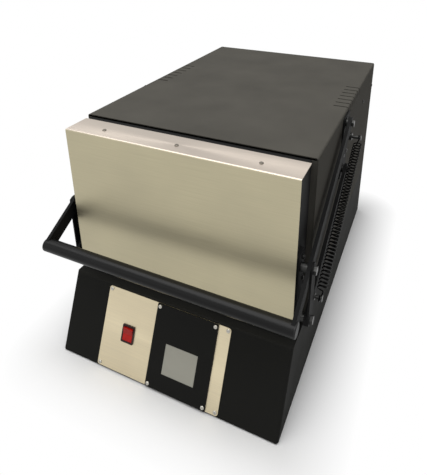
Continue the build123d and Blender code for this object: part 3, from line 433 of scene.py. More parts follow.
def display_window(name, colour):
    """Polycarbonate window over a dead display: a flat grey with a soft, broad gloss."""
    material, tree = new_material(name)
    haze = add(
        tree, "ShaderNodeTexNoise",
        inputs={"Vector": own_space(tree), "Scale": per_metre(WINDOW_HAZE_SIZE), "Detail": 2.0},
    )
    tone = add(
        tree, "ShaderNodeValToRGB", inputs={"Fac": haze},
        stops=tones(colour, darkest=0.97, lightest=1.03),
    )
    lay_surface(tree, {"Base Color": tone, "Roughness": 0.22, "IOR": 1.58})
    return material


ZINC_CRYSTAL_SIZE = 9.0
CRYSTAL_DULLEST = 0.82


def spangled_zinc(name, colour):
    """Hot-dip galvanised sheet: patches of zinc crystals a few millimetres across."""
    material, tree = new_material(name)
    crystals = add(
        tree, "ShaderNodeTexVoronoi", {"feature": "F1"},
        {"Vector": own_space(tree), "Scale": per_metre(ZINC_CRYSTAL_SIZE)},
    )
    patch = add(tree, "ShaderNodeSeparateColor", inputs={"Color": crystals.outputs["Color"]})
    dull = tuple(channel * CRYSTAL_DULLEST for channel in colour)
    tone = add(
        tree, "ShaderNodeValToRGB", inputs={"Fac": patch.outputs["Red"]}, stops=((0.0, dull), (1.0, colour))
    )
    gloss = add(
        tree, "ShaderNodeMapRange", inputs={"Value": patch.outputs["Green"], "To Min": 0.38, "To Max": 0.58}
    )
    lay_surface(tree, {"Base Color": tone, "Metallic": 1.0, "Roughness": gloss})
    return material


MATERIALS = {}


def finish(node_names, look):
    """Gives CAD nodes the material of that short name, in each of their own slots."""
    material = MATERIALS[look]
    for name in node_names:
        slots = NODES[name].material_slots
        if not slots:
            NODES[name].data.materials.append(material)
        for slot in slots:
            slot.material = material


def make_materials(settings):
    """Fills MATERIALS: every finish of the kiln under a short name."""
    MATERIALS.update({
        "powder": powder_coat("textured_black_powder_coat", settings.powder, 0.85, 0.06),
        "base": powder_coat("smooth_black_powder_coat", settings.base, 0.75, 0.1),
        "bars": powder_coat("satin_black_paint", settings.bars, 0.68, 0.1),
        "handle": powder_coat("satin_black_handle_enamel", settings.handle, 0.32, 0.17),
        "faceplate": moulded("matt_black_polyester_film", settings.faceplate, 0.55, 0.12),
        # The door cover's top gets a greyer painted reflection of the white light above
        "stainless": brushed_stainless(
            "brushed_stainless_door", settings.stainless, 0.42,
            painted_top_tint=(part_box("door_cover")[1].z, linear("b8aea3")),
        ),
        "panel": brushed_stainless("brushed_stainless_panel", settings.panel, 0.5),
        "screw": bare_steel("nickel_plated_screw", linear("b9b6ae"), 0.35, 3.0),
        # A darker copy of the screw steel, for the screws on the door's top
        "darker_screw": bare_steel("darker_door_top_screw", linear("6f6a62"), 0.5, 3.0),
        "black_screw": bare_steel("black_oxide_screw", linear("2a2a29"), 0.35, 3.0),
        "bolt": bare_steel("dark_zinc_bolt", linear("3b3b3a"), 0.38, 4.0),
        "spring": bare_steel("oiled_spring_wire", linear("090909"), 0.5, 3.0),
        "zinc": spangled_zinc("galvanised_sheet", linear("b9bcbd")),
        "jacket": bare_steel("heat_dulled_steel", linear("3f3b37"), 0.6, 30.0),
        "brick": insulating_brick("insulating_firebrick", settings.brick),
        "fibre": fired_ceramic("ceramic_fibre_board", linear("ece8df")),
        "steatite": fired_ceramic("steatite_ceramic", linear("e4ded2")),
        "element": bare_steel("oxidised_resistance_wire", linear("6c655d"), 0.62, 5.0),
        # Painted shade: the housing is tinted dark red-brown for the reddish shadow round the rocker
        "switch_body": moulded("dark_nylon_switch_painted_shade", linear("2a1613"), 0.42),
        "rocker": moulded("red_polycarbonate_rocker", settings.rocker, 0.35, 0.25),
        "screen": display_window("grey_display_window", settings.screen),
        "board": moulded("green_solder_mask", linear("1c5a34"), 0.4),
        "transformer": bare_steel("varnished_core_steel", linear("4a443f"), 0.5, 8.0),
        "relay": moulded("grey_phenolic_relay", linear("2a2b2c"), 0.5),
        "terminal": moulded("ivory_polyamide_terminals", linear("d8d2be"), 0.45),
        "gland": moulded("black_nylon_gland", linear("151515"), 0.5),
        "rubber": moulded("black_rubber_feet", linear("141414"), 0.75),
    })


# Meshes


def mesh_object(name, mesh, material):
    """A smooth-shaded object of one material for a mesh."""
    made = bpy.data.objects.new(name, mesh)
    bpy.context.scene.collection.objects.link(made)
    made.data.materials.clear()
    made.data.materials.append(material)
    for polygon in made.data.polygons:
        polygon.use_smooth = True
    return made


def tube(name, points, radius, sides, material):
    """A round wire through the points, closed at both ends, on frames that don't twist."""
    mesh = bmesh.new()
    count = len(points)
    tangent = (points[1] - points[0]).normalized()
    normal = tangent.orthogonal().normalized()
    rings = []
    for index, point in enumerate(points):
        ahead = points[min(index + 1, count - 1)] - points[max(index - 1, 0)]
        turned = ahead.normalized()
        normal = tangent.rotation_difference(turned) @ normal
        normal = (normal - turned * normal.dot(turned)).normalized()
        tangent = turned
        other = tangent.cross(normal)
        ring = []
        for side in range(sides):
            angle = 2 * math.pi * side / sides
            offset = normal * math.cos(angle) + other * math.sin(angle)
            ring.append(mesh.verts.new(point + offset * radius))
        rings.append(ring)
    for first, second in zip(rings, rings[1:]):
        for side in range(sides):
            after = (side + 1) % sides
            mesh.faces.new((first[side], first[after], second[after], second[side]))
    mesh.faces.new(list(reversed(rings[0])))
    mesh.faces.new(rings[-1])
    data = bpy.data.meshes.new(name)
    mesh.to_mesh(data)
    mesh.free()
    return mesh_object(name, data, material)


def geometry_tree(name, named_inputs):
    """An empty geometry tree with geometry in and out, and inputs of the given kinds."""
    tree = bpy.data.node_groups.new(name, "GeometryNodeTree")
    sockets = tree.interface
    sockets.new_socket(name="Geometry", in_out="INPUT", socket_type="NodeSocketGeometry")
    for label, kind in named_inputs.items():
        sockets.new_socket(name=label, in_out="INPUT", socket_type="NodeSocket" + kind)
    sockets.new_socket(name="Geometry", in_out="OUTPUT", socket_type="NodeSocketGeometry")
    return tree


def apply_tree(host, tree, values, name, material):
    """Runs a node tree on a host object and returns the result as a plain mesh object."""
    modifier = host.modifiers.new("repeat", "NODES")
    modifier.node_group = tree
    for item in tree.interface.items_tree:
        if item.item_type == "SOCKET" and item.in_out == "INPUT" and item.name in values:
            modifier[item.identifier] = values[item.name]
    host.update_tag()
    bpy.context.view_layer.update()
    evaluated = host.evaluated_get(bpy.context.evaluated_depsgraph_get())
    result = bpy.data.meshes.new_from_object(evaluated)
    result.name = name
    host.modifiers.remove(modifier)
    bpy.data.objects.remove(host)
    return mesh_object(name, result, material)


# Screws: heads on the points of a host mesh, turned to the surface and each by its own angle

# Shares of the head's radius, but the depth is a share of its height; the taper is the foot's size
RECESS_WIDTH = 0.09
RECESS_REACH = 0.42
RECESS_DEPTH = 0.3
RECESS_TAPER = 0.7
HEAD_PROFILE = ((1.0, 0.0), (1.0, 0.3), (0.93, 0.62), (0.8, 0.86), (0.62, 1.0))
HEAD_SIDES = 24
# The turn of the first head in radians, and how much further each next one is turned
TWIST_START = 0.3
TWIST_STEP = 0.9
# The outer end of a CAD screw: its points within this share of the head's height from the top
HEAD_END_SHARE = 0.1
WELD_DISTANCE = 1e-6


def cross_outline():
    """The recess's outline in shares of the head's radius: one arm, turned four times."""
    width, reach = RECESS_WIDTH, RECESS_REACH
    quarter = [(reach, -width), (reach, width), (width, width)]
    points = []
    for turn in range(4):
        angle = turn * math.pi / 2
        for x, y in quarter:
            turned_x = x * math.cos(angle) - y * math.sin(angle)
            turned_y = x * math.sin(angle) + y * math.cos(angle)
            points.append((turned_x, turned_y))
    return points


def screw_head_template():
    """A pan head of radius 1 and height 1 with a cross recess."""
    mesh = bmesh.new()
    rings = []
    for radius, height in HEAD_PROFILE:
        ring = []
        for side in range(HEAD_SIDES):
            angle = 2 * math.pi * side / HEAD_SIDES
            ring.append(mesh.verts.new((radius * math.cos(angle), radius * math.sin(angle), height)))
        rings.append(ring)
    for first, second in zip(rings, rings[1:]):
        for side in range(HEAD_SIDES):
            after = (side + 1) % HEAD_SIDES
            mesh.faces.new((first[side], first[after], second[after], second[side]))
    mesh.faces.new(list(reversed(rings[0])))
    outline = cross_outline()
    taper, depth = RECESS_TAPER, 1.0 - RECESS_DEPTH
    mouth = [mesh.verts.new((x, y, 1.0)) for x, y in outline]
    foot = [mesh.verts.new((x * taper, y * taper, depth)) for x, y in outline]
    edges = []
    for loop in (rings[-1], mouth):
        for index, vertex in enumerate(loop):
            after = loop[(index + 1) % len(loop)]
            edges.append(mesh.edges.get((vertex, after)) or mesh.edges.new((vertex, after)))
    bmesh.ops.triangle_fill(mesh, edges=edges, use_beauty=True)
    for index in range(len(mouth)):
        after = (index + 1) % len(mouth)
        mesh.faces.new((mouth[index], foot[index], foot[after], mouth[after]))
    mesh.faces.new(foot)
    bmesh.ops.recalc_face_normals(mesh, faces=mesh.faces)
    data = bpy.data.meshes.new("pan_head")
    mesh.to_mesh(data)
    mesh.free()
    made = bpy.data.objects.new("pan_head", data)
    bpy.context.scene.collection.objects.link(made)
    return made


def screw_tree(template, material):
    """Puts the template on every point: named inputs say its radius and height."""
    tree = geometry_tree("pan_head_screws", {"Head Radius": "Float", "Head Height": "Float"})
    start = add(tree, "NodeGroupInput")
    head = add(tree, "GeometryNodeObjectInfo", inputs={"Object": template})
    outward = add(
        tree, "GeometryNodeInputNamedAttribute", {"data_type": "FLOAT_VECTOR"}, {"Name": "outward"}
    ).outputs["Attribute"]
    twist = add(
        tree, "GeometryNodeInputNamedAttribute", {"data_type": "FLOAT"}, {"Name": "twist"}
    ).outputs["Attribute"]
    upright = add(tree, "FunctionNodeAlignRotationToVector", {"axis": "Z"}, {"Vector": outward})
    about_axis = add(tree, "ShaderNodeCombineXYZ", inputs={"Z": twist})
    spin = add(tree, "FunctionNodeEulerToRotation", inputs={"Euler": about_axis})
    turned = add(
        tree, "FunctionNodeRotateRotation", {"rotation_space": "LOCAL"},
        {"Rotation": upright, "Rotate By": spin},
    )
    size = add(
        tree, "ShaderNodeCombineXYZ",
        inputs={
            "X": start.outputs["Head Radius"],
            "Y": start.outputs["Head Radius"],
            "Z": start.outputs["Head Height"],
        },
    )
    placed = add(
        tree, "GeometryNodeInstanceOnPoints",
        inputs={
            "Points": start.outputs["Geometry"],
            "Instance": head.outputs["Geometry"],
            "Rotation": turned.outputs["Rotation"],
            "Scale": size.outputs["Vector"],
        },
    )
    real = add(tree, "GeometryNodeRealizeInstances", inputs={"Geometry": placed})
    painted = add(tree, "GeometryNodeSetMaterial", inputs={"Geometry": real, "Material": material})
    add(tree, "NodeGroupOutput", inputs={"Geometry": painted})
    return tree


def loose_parts(node):
    """The separate solids of a CAD node in a fixed order, each as a list of its corner points."""
    mesh = bmesh.new()
    mesh.from_mesh(NODES[node].data)
    bmesh.ops.remove_doubles(mesh, verts=mesh.verts, dist=WELD_DISTANCE)
    left = set(mesh.verts)
    parts = []
    for first in mesh.verts:
        if first not in left:
            continue
        left.remove(first)
        reached = [first]
        points = []
        while reached:
            vertex = reached.pop()
            points.append(vertex.co.copy())
            for edge in vertex.link_edges:
                other = edge.other_vert(vertex)
                if other in left:
                    left.remove(other)
                    reached.append(other)
        parts.append(points)
    mesh.free()
    return parts


def head_places(node, outward, height):
    """Where each screw of a CAD node meets its surface, from the outer end of its solid."""
    places = []
    for points in loose_parts(node):
        side = outward(sum(points, Vector()) / len(points)).normalized()
        top = max(point.dot(side) for point in points)
        end = [point for point in points if point.dot(side) > top - height * HEAD_END_SHARE]
        centre = sum(end, Vector()) / len(end)
        places.append((centre - side * height, side))
    return places


def make_screws(name, node, outward, size, body, look, template):
    """One piece for all the screws of a CAD node, turned a little further from one to the next."""
    radius, height = size
    slot, material = look
    places = head_places(node, outward, height)
    data = bpy.data.meshes.new(name + "_places")
    data.from_pydata([place for place, side in places], [], [])
    data.attributes.new("outward", "FLOAT_VECTOR", "POINT")
    data.attributes.new("twist", "FLOAT", "POINT")
    for index, (place, side) in enumerate(places):
        data.attributes["outward"].data[index].vector = side
        data.attributes["twist"].data[index].value = TWIST_START + TWIST_STEP * index
    host = bpy.data.objects.new(name + "_places", data)
    bpy.context.scene.collection.objects.link(host)
    tree = screw_tree(template, material)
    piece = apply_tree(host, tree, {"Head Radius": radius, "Head Height": height}, name, material)
    for polygon in piece.data.polygons:
        polygon.use_smooth = False
    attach(piece, body)
    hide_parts(node)


def sideways(point):
    """Away from the middle of the kiln, to the side that the point is on."""
    return Vector((math.copysign(1.0, point.x), 0.0, 0.0))


def upwards(point):
    return Vector((0.0, 0.0, 1.0))


def rearwards(point):
    return Vector((0.0, 1.0, 0.0))


def out_of_panel(point):
    """Out of the sloped control plate: the way its largest face that looks upwards faces."""
    faces = [face for face in NODES["control_plate"].data.polygons if face.normal.z > 0]
    return max(faces, key=lambda face: face.area).normal.copy()


class KILN_OT_screws(Operator):
    """Make the pan-head screws and button-head bolts with their cross recesses"""

    bl_idname = "kiln.screws"
    bl_label = "Screws"

    def execute(self, context):
        sizes = context.scene.kiln_screws
        panel = (sizes.panel_radius, sizes.panel_height)
        casing = (sizes.casing_radius, sizes.casing_height)
        plate = (sizes.plate_radius, sizes.plate_height)
        plated = ("screw_steel", MATERIALS["screw"])
        darker_steel = ("screw_steel", MATERIALS["darker_screw"])
        black = ("black_screw", MATERIALS["black_screw"])
        dark_bolt = ("bolt_steel", MATERIALS["black_screw"])
        groups = (
            ("panel_pan_screws", "control_plate_screws", out_of_panel, panel, "body", plated),
            ("controller_pan_screws", "controller_screws", out_of_panel, panel, "body", plated),
            ("door_top_screws", "door_cover_screws", upwards, panel, "door", darker_steel),
            ("side_pan_screws", "casing_side_screws", sideways, casing, "body", black),
            ("rear_pan_screws", "rear_cover_screws", rearwards, casing, "body", black),
            ("pivot_plate_buttons", "pivot_plate_bolts", sideways, plate, "body", dark_bolt),
            ("hanger_buttons", "door_hanger_bolts", sideways, plate, "door", dark_bolt),
        )
        template = screw_head_template()
        for name, node, outward, size, body, look in groups:
            make_screws(name, node, outward, size, body, look, template)
        bpy.data.objects.remove(template)
        return {"FINISHED"}


# Springs: one wire each, from hook to hook

SPRING_WIRE_SIDES = 8
HOOK_STEPS = 16
TURN_STEPS = 20
BLEND_STEPS = 10
# The hook starts this far round its stud, in degrees, and turns back by this much
HOOK_START = 300
HOOK_SWEEP = 210
# How much the wire leans forward where it enters the first turn
LEAD_LEAN = 0.15


def spring_points(settings, length):
    """The wire's line in its own axes: along X, with the hooks round studs at 0 and at length."""
    mean, hook = settings.coil_radius, settings.hook_radius
    start_x, turns = settings.hook_length, settings.turns
    coil = length - 2 * start_x
    points = []
    for step in range(HOOK_STEPS + 1):
        angle = math.radians(HOOK_START - HOOK_SWEEP * step / HOOK_STEPS)
        points.append(Vector((hook * math.cos(angle), hook * math.sin(angle), 0)))
    hook_end, hook_way = points[-1], Vector((1, 0, 0))
    first, first_way = Vector((start_x, mean, 0)), Vector((LEAD_LEAN, 0, 1))
    for step in range(1, BLEND_STEPS):
        points.append(hermite(hook_end, hook_way, first, first_way, step / BLEND_STEPS, start_x))
    total = turns * TURN_STEPS
    for step in range(total + 1):
        angle = 2 * math.pi * step / TURN_STEPS
        along = start_x + coil * step / total
        points.append(Vector((along, mean * math.cos(angle), mean * math.sin(angle))))
    half = len(points) - total // 2 - 1
    lead = points[:half + 1]
    # The far half is the near one turned about the middle of the spring
    tail = [Vector((length - point.x, point.y, -point.z)) for point in reversed(lead[:-1])]
    return lead + tail


def hermite(start, start_way, end, end_way, share, pull):
    """A point on the smooth curve that leaves start and reaches end in the given ways."""
    a, b = share, 1 - share
    return (
        start * (1 + 2 * a) * b * b + start_way * pull * a * b * b
        + end * a * a * (3 - 2 * a) - end_way * pull * a * a * b
    )


def spring_studs(name):
    """The middles of the spring's two studs, and the share of its length that it keeps as the door rises."""
    upper = Vector(JOINTS[f"spring_{name}_swing"]["pos_m"])
    low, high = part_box(f"spring_pin_{name}")
    lower = (low + high) / 2
    link = JOINTS[f"link_{name}_swing"]
    pivot = Vector(link["pos_m"])
    lower.x = pivot.x = upper.x
    lift = Matrix.Rotation(math.radians(max(link["range_deg"])), 3, Vector(link["axis"]))
    raised = pivot + lift @ (lower - pivot)
    return upper, lower, (raised - upper).length / (lower - upper).length


class KILN_OT_springs(Operator):
    """Wind the two counterbalance springs with all their turns and their hooks"""

    bl_idname = "kiln.springs"
    bl_label = "Springs"

    def execute(self, context):
        settings = context.scene.kiln_springs
        for side, name in ((-1, "left"), (1, "right")):
            upper, lower, kept_share = spring_studs(name)
            along = (lower - upper).normalized()
            across = Vector((side, 0, 0))
            upward = across.cross(along) * side
            points = [
                upper + along * point.x + upward * point.y + across * point.z
                for point in spring_points(settings, (lower - upper).length)
            ]
            spring = tube(
                f"wound_spring_{name}", points, settings.wire_radius, SPRING_WIRE_SIDES, MATERIALS["spring"]
            )
            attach(spring, f"spring_{name}")
            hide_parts(f"spring_{name}")
            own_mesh(spring)
        return {"FINISHED"}


# Heating coils: a wire wound round the element's route, on Geometry Nodes

ELEMENT_ROWS = 4
BEND_STEPS = 16
WIRE_SIDES = 5
STEPS_PER_TURN = 9
TAIL_RADIUS = 2.5 * MM
TAIL_SIDES = 12
TAIL_LEAD = 6.0 * MM
REAR_BEND_SETBACK = 24.0 * MM


def element_route(node):
    """The route in the side wall, from the node's own box: rows joined by half circles."""
    low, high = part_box(node)
    x = (low.x + high.x) / 2
    radius = (high.x - low.x) / 2
    top = high.z - radius
    pitch = (high.z - low.z - 2 * radius) / (ELEMENT_ROWS - 1)
    bend = pitch / 2
    front = low.y + radius + bend
    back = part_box("brick_right")[1].y - TAIL_LEAD
    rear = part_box("brick_back")[0].y - REAR_BEND_SETBACK
    points = [Vector((x, back, top))]
    for row in range(ELEMENT_ROWS - 1):
        y, side = (front, -1) if row % 2 == 0 else (rear, 1)
        centre = Vector((x, y, top - (row + 0.5) * pitch))
        for step in range(BEND_STEPS + 1):
            angle = math.pi * step / BEND_STEPS
            points.append(centre + bend * Vector((0, side * math.sin(angle), math.cos(angle))))
    points.append(Vector((x, back, top - (ELEMENT_ROWS - 1) * pitch)))
    return points


def winding_tree(material):
    """Winds a wire round the curve it is given: named inputs say its turns, its points and its radii."""
    tree = geometry_tree(
        "heating_coil", {"Turns": "Float", "Points": "Int", "Coil Radius": "Float", "Wire Radius": "Float"}
    )
    start = add(tree, "NodeGroupInput")
    fine = add(
        tree, "GeometryNodeResampleCurve",
        inputs={"Curve": start.outputs["Geometry"], "Count": start.outputs["Points"]},
    )
    factor = add(tree, "GeometryNodeSplineParameter").outputs["Factor"]
    turned = add(tree, "ShaderNodeMath", {"operation": "MULTIPLY"}, {0: factor, 1: start.outputs["Turns"]})
    angle = add(tree, "ShaderNodeMath", {"operation": "MULTIPLY"}, {0: turned, 1: 2 * math.pi})
    tangent = add(tree, "GeometryNodeInputTangent")
    across = add(tree, "ShaderNodeVectorMath", {"operation": "CROSS_PRODUCT"}, {0: tangent, 1: (1, 0, 0)})
    parts = []
    for operation, direction in (("COSINE", (1, 0, 0)), ("SINE", across)):
        wave = add(tree, "ShaderNodeMath", {"operation": operation}, {0: angle})
        reach = add(
            tree, "ShaderNodeMath", {"operation": "MULTIPLY"}, {0: wave, 1: start.outputs["Coil Radius"]}
        )
        part = add(tree, "ShaderNodeVectorMath", {"operation": "SCALE"}, {0: direction, "Scale": reach})
        parts.append(part)
    offset = add(tree, "ShaderNodeVectorMath", {"operation": "ADD"}, dict(enumerate(parts)))
    wound = add(tree, "GeometryNodeSetPosition", inputs={"Geometry": fine, "Offset": offset})
    wire = add(
        tree, "GeometryNodeCurvePrimitiveCircle",
        inputs={"Resolution": WIRE_SIDES, "Radius": start.outputs["Wire Radius"]},
    )
    solid = add(
        tree, "GeometryNodeCurveToMesh", inputs={"Curve": wound, "Profile Curve": wire, "Fill Caps": True}
    )
    real = add(tree, "GeometryNodeRealizeInstances", inputs={"Geometry": solid})
    painted = add(tree, "GeometryNodeSetMaterial", inputs={"Geometry": real, "Material": material})
    add(tree, "NodeGroupOutput", inputs={"Geometry": painted})
    return tree


def curve_host(name, points):
    """A plain polyline curve for a tree to work on."""
    data = bpy.data.curves.new(name, "CURVE")
    data.dimensions = "3D"
    spline = data.splines.new("POLY")
    spline.points.add(len(points) - 1)
    for target, point in zip(spline.points, points):
        target.co = (*point, 1.0)
    host = bpy.data.objects.new(name, data)
    bpy.context.scene.collection.objects.link(host)
    return host


class KILN_OT_elements(Operator):
    """Wind the heating coils in the grooves of the two side walls"""

    bl_idname = "kiln.elements"
    bl_label = "Heating coils"

    def execute(self, context):
        settings = context.scene.kiln_elements
        for name in ("left", "right"):
            node = f"heating_element_{name}"
            route = element_route(node)
            length = sum((b - a).length for a, b in zip(route, route[1:]))
            turns = round(length / settings.pitch)
            host = curve_host(f"coil_route_{name}", route)
            coil = apply_tree(
                host, winding_tree(MATERIALS["element"]),
                {
                    "Turns": float(turns),
                    "Points": turns * STEPS_PER_TURN,
                    "Coil Radius": settings.coil_radius,
                    "Wire Radius": settings.wire_radius,
                },
                f"heating_coil_{name}", MATERIALS["element"],
            )
            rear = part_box(node)[1].y
            for label, end in (("upper", route[0]), ("lower", route[-1])):
                tail = tube(
                    f"element_tail_{label}_{name}",
                    [end, end + Vector((0, TAIL_LEAD, 0)), Vector((end.x, rear, end.z))],
                    TAIL_RADIUS, TAIL_SIDES, MATERIALS["element"],
                )
                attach(tail, "body")
                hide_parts(node)
            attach(coil, "body")
            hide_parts(node)
        return {"FINISHED"}


class KILN_OT_casing(Operator):
    """Make the finishes, then finish the casing, the base and what is inside"""

    bl_idname = "kiln.casing"
    bl_label = "Casing and base"

    def execute(self, context):
        make_materials(context.scene.kiln_finish)
        finish(("casing_shell", "rear_cover", "front_frame", "casing_floor"), "powder")
        finish(("base_box",), "base")
        finish(("base_floor", "bulkhead"), "zinc")
        finish(("inner_jacket",), "jacket")
        finish(("feet",), "rubber")
        finish(("cord_gland",), "gland")
        finish(("controller_board",), "board")
        finish(("transformer",), "transformer")
        finish(("power_relay",), "relay")
        finish(("terminal_block",), "terminal")
        return {"FINISHED"}


class KILN_OT_lining(Operator):
    """Finish the firebrick lining and the ceramic parts behind it"""

    bl_idname = "kiln.lining"
    bl_label = "Lining"

    def execute(self, context):
        bricks = ("brick_floor", "brick_roof", "brick_left", "brick_right", "brick_back", "door_insulation")
        finish(bricks, "brick")
        finish(("fibre_board",), "fibre")
        finish(("element_bushings", "thermocouple", "thermocouple_block"), "steatite")
        return {"FINISHED"}


class KILN_OT_door(Operator):
    """Finish the door, its stainless cover and its hangers"""

    bl_idname = "kiln.door"
    bl_label = "Door"

    def execute(self, context):
        finish(("door_cover",), "stainless")
        finish(("door_case", "door_hanger_left", "door_hanger_right", "door_straps"), "bars")
        finish(("door_pivot_pins",), "bolt")
        return {"FINISHED"}


class KILN_OT_linkage(Operator):
    """Finish the lever, its handle, the lower links and their bolts"""

    bl_idname = "kiln.linkage"
    bl_label = "Linkage"

    def execute(self, context):
        bars = ("lever_arm_left", "lever_arm_right", "link_left", "link_right")
        plates = ("pivot_plate_left", "pivot_plate_right")
        studs = (
            "lever_pivot_bolts", "link_pivot_bolts", "spring_anchors", "spring_pin_left", "spring_pin_right",
        )
        finish(bars + plates, "bars")
        finish(studs, "bolt")
        finish(("handle_bar",), "handle")
        finish(("handle_caps",), "gland")
        return {"FINISHED"}


class KILN_OT_controls(Operator):
    """Finish the control panel, its display and its power switch"""

    bl_idname = "kiln.controls"
    bl_label = "Controls"

    def execute(self, context):
        finish(("control_plate",), "panel")
        finish(("controller_face",), "faceplate")
        finish(("display_screen",), "screen")
        finish(("switch_housing",), "switch_body")
        finish(("rocker_paddle",), "rocker")
        return {"FINISHED"}


# Stage: a white floor that keeps its shadow, a soft lamp above, a weak one in front, and the camera

CAMERA_PLACE = (0.36631, -0.87143, 0.79730)
CAMERA_TURN = (68.98055, -0.06701, 24.02794)
CAMERA_SHIFT = (-0.043862, -0.279749)
FLOOR_HALF = 9.0
# How pale the paper looks in the shadow, how much light it throws back, and how far the shadow reaches
FLOOR_WHITE = 0.76
FLOOR_BOUNCE = 0.35
FLOOR_SHADOW_REACH = 0.115
LAMP_TARGET = (0.0, 0.0, 0.2)
KEY_PLACE = (-0.2, -0.4, 2.6)
KEY_SIZE = (3.2, 2.8)
FILL_PLACE = (-1.6, -2.6, 1.4)
FILL_SIZE = (2.0, 1.4)
CAMERA_SENSOR = 36.0
CAMERA_NEAR = 0.02


def looked_at(tree):
    """1 where the camera, a reflection or a transmission looks, and 0 for the light that surfaces pass on."""
    path = add(tree, "ShaderNodeLightPath")
    seen = path.outputs["Is Camera Ray"]
    for name in ("Is Glossy Ray", "Is Transmission Ray"):
        seen = add(tree, "ShaderNodeMath", {"operation": "MAXIMUM"}, {0: seen, 1: path.outputs[name]})
    return seen


def make_world(strength):
    """White to look at, and a soft even light of the given strength for the surfaces."""
    world = bpy.data.worlds.new("studio")
    world.use_nodes = True
    tree = world.node_tree
    tree.nodes.clear()
    level = add(
        tree, "ShaderNodeMapRange", inputs={"Value": looked_at(tree), "To Min": strength, "To Max": 1.0}
    )
    background = add(tree, "ShaderNodeBackground", inputs={"Color": WHITE, "Strength": level})
    add(tree, "ShaderNodeOutputWorld", inputs={"Surface": background})
    bpy.context.scene.world = world


def beyond_base(tree):
    """How far a point of the floor lies outside the base box's outline."""
    low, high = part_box("base_box")
    middle, reach = (low + high) / 2, (high - low) / 2
    middle.z = reach.z = 0.0
    place = add(tree, "ShaderNodeTexCoord").outputs["Object"]
    offset = add(tree, "ShaderNodeVectorMath", {"operation": "SUBTRACT"}, {0: place, 1: middle})
    aside = add(tree, "ShaderNodeVectorMath", {"operation": "ABSOLUTE"}, {0: offset})
    past = add(tree, "ShaderNodeVectorMath", {"operation": "SUBTRACT"}, {0: aside, 1: reach})
    outside = add(tree, "ShaderNodeVectorMath", {"operation": "MAXIMUM"}, {0: past, 1: (0, 0, 0)})
    return add(tree, "ShaderNodeVectorMath", {"operation": "LENGTH"}, {0: outside}).outputs["Value"]


def make_floor():
    """Paper that is pale to look at, mid grey in the light it throws back, and white past the shadow."""
    data = bpy.data.meshes.new("studio_floor")
    half = FLOOR_HALF
    corners = [(-half, -half, 0), (half, -half, 0), (half, half, 0), (-half, half, 0)]
    data.from_pydata(corners, [], [(0, 1, 2, 3)])
    material, tree = new_material("white_paper_floor")
    seen = looked_at(tree)
    colour = add(
        tree, "ShaderNodeValToRGB", inputs={"Fac": seen},
        stops=((0.0, (FLOOR_BOUNCE,) * 3), (1.0, (FLOOR_WHITE,) * 3)),
    )
    paper = add(tree, "ShaderNodeBsdfDiffuse", inputs={"Color": colour})
    glow = add(tree, "ShaderNodeEmission", inputs={"Color": WHITE, "Strength": 1.0})
    far = add(
        tree, "ShaderNodeMapRange", inputs={"Value": beyond_base(tree), "From Max": FLOOR_SHADOW_REACH}
    )
    share = add(tree, "ShaderNodeMath", {"operation": "MULTIPLY"}, {0: seen, 1: far})
    mixed = add(tree, "ShaderNodeMixShader", inputs={0: share, 1: paper, 2: glow})
    add(tree, "ShaderNodeOutputMaterial", inputs={"Surface": mixed})
    mesh_object("studio_floor", data, material)


def make_lamp(name, place, size, power):
    """A rectangular softbox that looks at the middle of the kiln."""
    data = bpy.data.lights.new(name, "AREA")
    data.shape = "RECTANGLE"
    data.size, data.size_y = size
    data.energy = power
    lamp = bpy.data.objects.new(name, data)
    lamp.location = place
    lamp.rotation_euler = (Vector(LAMP_TARGET) - Vector(place)).to_track_quat("-Z", "Y").to_euler()
    bpy.context.scene.collection.objects.link(lamp)


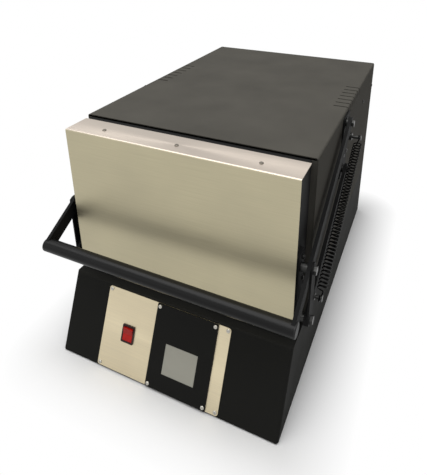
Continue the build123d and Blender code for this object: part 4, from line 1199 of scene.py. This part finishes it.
class KILN_OT_stage(Operator):
    """Set the white floor, the lamps and the camera at the photograph's viewing angle"""

    bl_idname = "kiln.stage"
    bl_label = "Stage"

    def execute(self, context):
        settings = context.scene.kiln_stage
        make_floor()
        make_world(settings.world)
        make_lamp("key_light", KEY_PLACE, KEY_SIZE, settings.key_power)
        make_lamp("fill_light", FILL_PLACE, FILL_SIZE, settings.fill_power)
        data = bpy.data.cameras.new("photo_camera")
        data.lens = settings.lens
        data.sensor_width = CAMERA_SENSOR
        data.sensor_fit = "AUTO"
        data.shift_x, data.shift_y = CAMERA_SHIFT
        data.clip_start = CAMERA_NEAR
        camera = bpy.data.objects.new("photo_camera", data)
        camera.location = CAMERA_PLACE
        camera.rotation_euler = Euler([math.radians(angle) for angle in CAMERA_TURN])
        context.scene.collection.objects.link(camera)
        context.scene.camera = camera
        context.scene.view_settings.view_transform = "Standard"
        return {"FINISHED"}


class KILN_PT_looks(Panel):
    """The kiln's steps, in the order they run"""

    bl_label = "Ceramic Kiln"
    bl_idname = "KILN_PT_looks"
    bl_space_type = "VIEW_3D"
    bl_region_type = "UI"
    bl_category = "Kiln"

    def draw(self, context):
        for operator in OPERATORS:
            self.layout.operator(operator.bl_idname)
        for name in GROUPS:
            box = self.layout.box()
            settings = getattr(context.scene, name)
            for key in settings.__annotations__:
                box.prop(settings, key)


GROUPS = {
    "kiln_finish": KilnFinishSettings,
    "kiln_springs": KilnSpringSettings,
    "kiln_elements": KilnElementSettings,
    "kiln_screws": KilnScrewSettings,
    "kiln_stage": KilnStageSettings,
}
OPERATORS = (
    KILN_OT_stage,
    KILN_OT_casing,
    KILN_OT_lining,
    KILN_OT_door,
    KILN_OT_linkage,
    KILN_OT_controls,
    KILN_OT_springs,
    KILN_OT_elements,
    KILN_OT_screws,
)


def register():
    for group in GROUPS.values():
        bpy.utils.register_class(group)
    for name, group in GROUPS.items():
        setattr(bpy.types.Scene, name, PointerProperty(type=group))
    for operator in OPERATORS:
        bpy.utils.register_class(operator)
    bpy.utils.register_class(KILN_PT_looks)


def unregister():
    bpy.utils.unregister_class(KILN_PT_looks)
    for operator in reversed(OPERATORS):
        bpy.utils.unregister_class(operator)
    for name, group in GROUPS.items():
        delattr(bpy.types.Scene, name)
        bpy.utils.unregister_class(group)


def main():
    register()
    bpy.ops.kiln.stage()
    bpy.ops.kiln.casing()
    bpy.ops.kiln.lining()
    bpy.ops.kiln.door()
    bpy.ops.kiln.linkage()
    bpy.ops.kiln.controls()
    bpy.ops.kiln.springs()
    bpy.ops.kiln.elements()
    bpy.ops.kiln.screws()


if __name__ == "__main__":
    main()
